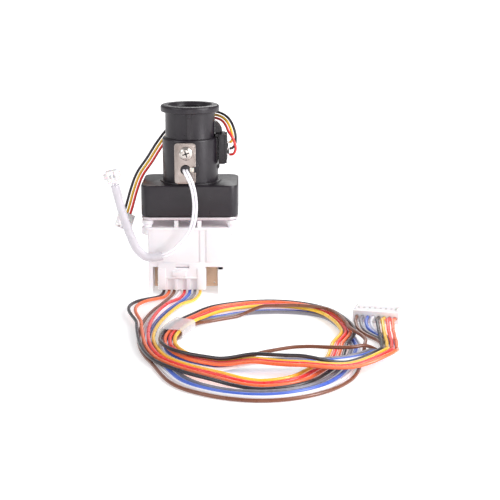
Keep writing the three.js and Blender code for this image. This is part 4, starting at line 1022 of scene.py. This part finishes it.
def hollow_tube(outer_at, inner_at, count):
    """A tube with a wall: outer and inner rings joined at both ends."""
    working = bmesh.new()
    outer = [[working.verts.new(point) for point in outer_at(index)] for index in range(count)]
    inner = [[working.verts.new(point) for point in inner_at(index)] for index in range(count)]
    for lower, upper in (*zip(outer, outer[1:]), *zip(inner, inner[1:]), (outer[0], inner[0]),
                         (outer[-1], inner[-1])):
        bridge(working, lower, upper)
    return from_bmesh(working)


def harness_sleeve():
    count = 28
    middle = Vector((0, 0, SLEEVE_HEIGHT / 2 - WIRE_D / 2 - 0.00005))

    def ring_at(index, inset):
        distance = mix(SLEEVE_FROM, SLEEVE_TO, index / (count - 1))
        heading = harness_centre.heading(distance)
        across = Vector((heading.y, -heading.x, 0)).normalized()
        centre = harness_centre.at(distance) + middle
        width, height = SLEEVE_WIDTH / 2 - inset, SLEEVE_HEIGHT / 2 - inset
        outline = rounded(-width, width, -height, height, SLEEVE_CORNER - inset, 6)
        return [(centre + across * a + Vector((0, 0, b))) / MM for a, b in outline]

    return hollow_tube(lambda i: ring_at(i, 0), lambda i: ring_at(i, SLEEVE_WALL), count)


def lead_sleeve():
    count, sides = 90, 32
    reach = thermistor_centre.length - LEAD_SLEEVE_SHORT

    def ring_at(index, radius):
        distance = mix(LEAD_SLEEVE_FROM, reach, index / (count - 1))
        heading = thermistor_centre.heading(distance)
        across = Vector((0, 1, 0)).cross(heading).normalized()
        above = across.cross(heading).normalized()
        centre = thermistor_centre.at(distance)
        return [(centre + (across * math.cos(turn) + above * math.sin(turn)) * radius) / MM
                for turn in full_turn(sides)]

    return hollow_tube(lambda i: ring_at(i, LEAD_SLEEVE_R), lambda i: ring_at(i, LEAD_SLEEVE_INNER), count)


def tip_of(route):
    """A route's last point and the direction it arrives in."""
    end, before = route.points[-1], route.points[-2]
    return end, (end - before).normalized()


def lead(name, points, diameter, colour, node):
    """One insulated wire: a round line along the points, on the valve body, in place of its CAD node."""
    data = bpy.data.curves.new(name, "CURVE")
    data.dimensions = "3D"
    data.bevel_depth = diameter / 2
    data.bevel_resolution = 4
    data.use_fill_caps = True
    line = data.splines.new("POLY")
    line.points.add(len(points) - 1)
    for point, place in zip(line.points, points):
        point.co = (place.x, place.y + AXIS_Y * MM, place.z, 1)
    data.materials.append(WIRES[colour])
    made = linked(name, data)
    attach(made, "valve")
    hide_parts(node)


sleeve_piece = piece(harness_sleeve(), "harness_clear_sleeve", HARNESS_TUBE, "harness_sleeve")
harness_end, harness_heading = tip_of(harness_centre)
harness_heading.z = 0
end_place = connector_frame((harness_end.x + 0.00012, harness_end.y + 0.0003, 0.0029), harness_heading,
                            (0, 0, 1))
end_pieces = connector("end", "end_connector", end_place, 8, 2.5, 9.8, 5.75)
for colour, points in harness_wires.items():
    lead(f"harness_lead_{colour}", points, WIRE_D, colour, f"harness_wire_{colour}")

hall_end, hall_heading = tip_of(hall_centre)
hall_place = connector_frame(hall_end + hall_heading * 0.0003, hall_heading, (0.25, -1, 0.1))
hall_pieces = connector("sensor", "hall_connector", hall_place, 3, 2, 7.4, 4.6)
for colour, points in hall_wires.items():
    lead(f"sensor_lead_{colour}", points, LEAD_D, colour, f"hall_wire_{colour}")

lead_piece = piece(lead_sleeve(), "thermistor_clear_sleeve", LEAD_TUBE, "thermistor_sleeve")
probe_end, probe_heading = tip_of(thermistor_centre)
probe_place = connector_frame(probe_end + probe_heading * 0.0003, probe_heading, (0, -1, 0))
probe_pieces = connector("probe", "thermistor_connector", probe_place, 2, 2, 6.2, 3.4, 1.4)
for suffix, points in thermistor_wires.items():
    lead(f"probe_lead_{suffix}", points, LEAD_D, "white", f"thermistor_wire_{suffix}")


# --- CAD nodes that stay as they are ---

CARRIED = (
    (BLACK_SMOOTH, "lower_bearing_spider bottom_cover position_sensor"),
    (NICKEL, "turbine_axle compound_gear_pin motor_pinion"),
    (ACETAL, "diverter_drum shaft_bush output_gear compound_gear"),
    (RUBBER, "drum_seal cover_gasket thermistor_seal"),
    (MAGNET, "turbine_magnet"), (WHITE, "housing_floor"), (STEEL, "motor_can"),
)
for finish, node_names in CARRIED:
    for node_name in node_names.split():
        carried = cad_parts[node_name]
        carried.data.materials.clear()
        carried.data.materials.append(finish)


# --- Floor and light ---

def stage_floor():
    working = bmesh.new()
    bmesh.ops.create_grid(working, x_segments=2, y_segments=2, size=4)
    data = bpy.data.meshes.new("floor")
    working.to_mesh(data)
    working.free()
    made = linked("floor", data)
    surface, tree, shader = new_material("floor")
    shader.inputs["Base Color"].default_value = (0.93, 0.925, 0.93, 1)
    shader.inputs["Roughness"].default_value = 0.9
    shader.inputs["Specular IOR Level"].default_value = 0.1
    # The floor glows a little more the further it is from the part, where the lamps no longer reach
    place = add(tree, "ShaderNodeTexCoord")
    distance = add(tree, "ShaderNodeVectorMath", operation="LENGTH")
    tree.links.new(place.outputs["Object"], distance.inputs[0])
    glow = spread(tree, distance.outputs["Value"], 0.36, 0.8, 0.25, 1.5)
    tree.links.new(glow, shader.inputs["Emission Strength"])
    shader.inputs["Emission Color"].default_value = (1, 0.995, 1, 1)
    data.materials.append(surface)


def area_light(name, at, target, size, power, colour=(1, 1, 1)):
    data = bpy.data.lights.new(name, "AREA")
    data.shape = "DISK"
    data.size = size
    data.energy = power
    data.color = colour
    made = linked(name, data)
    made.location = at
    made.rotation_euler = (Vector(target) - Vector(at)).to_track_quat("-Z", "Y").to_euler()


def studio():
    world = bpy.data.worlds.new("studio")
    world.use_nodes = True
    background = world.node_tree.nodes["Background"]
    background.inputs["Color"].default_value = (1, 0.995, 1, 1)
    background.inputs["Strength"].default_value = 0.38
    bpy.context.scene.world = world
    middle = (0.03, -0.05, 0.03)
    area_light("key", (0.8, -0.45, 0.65), middle, 0.8, 7.4)
    area_light("fill", (-0.7, -0.5, 0.5), middle, 0.6, 2.6, (0.97, 0.97, 1))
    area_light("rim", (0.1, 0.7, 0.6), middle, 0.5, 2.6)
    area_light("front", (0.05, -0.9, 0.12), (0, 0, 0.02), 0.3, 0.5, (1, 0.97, 0.96))
    area_light("strip", (0.7, -0.42, 0.22), (0, 0, 0.07), 0.2, 2.4, (0.98, 0.96, 1))
    bpy.context.scene.view_settings.view_transform = "Standard"


stage_floor()
studio()
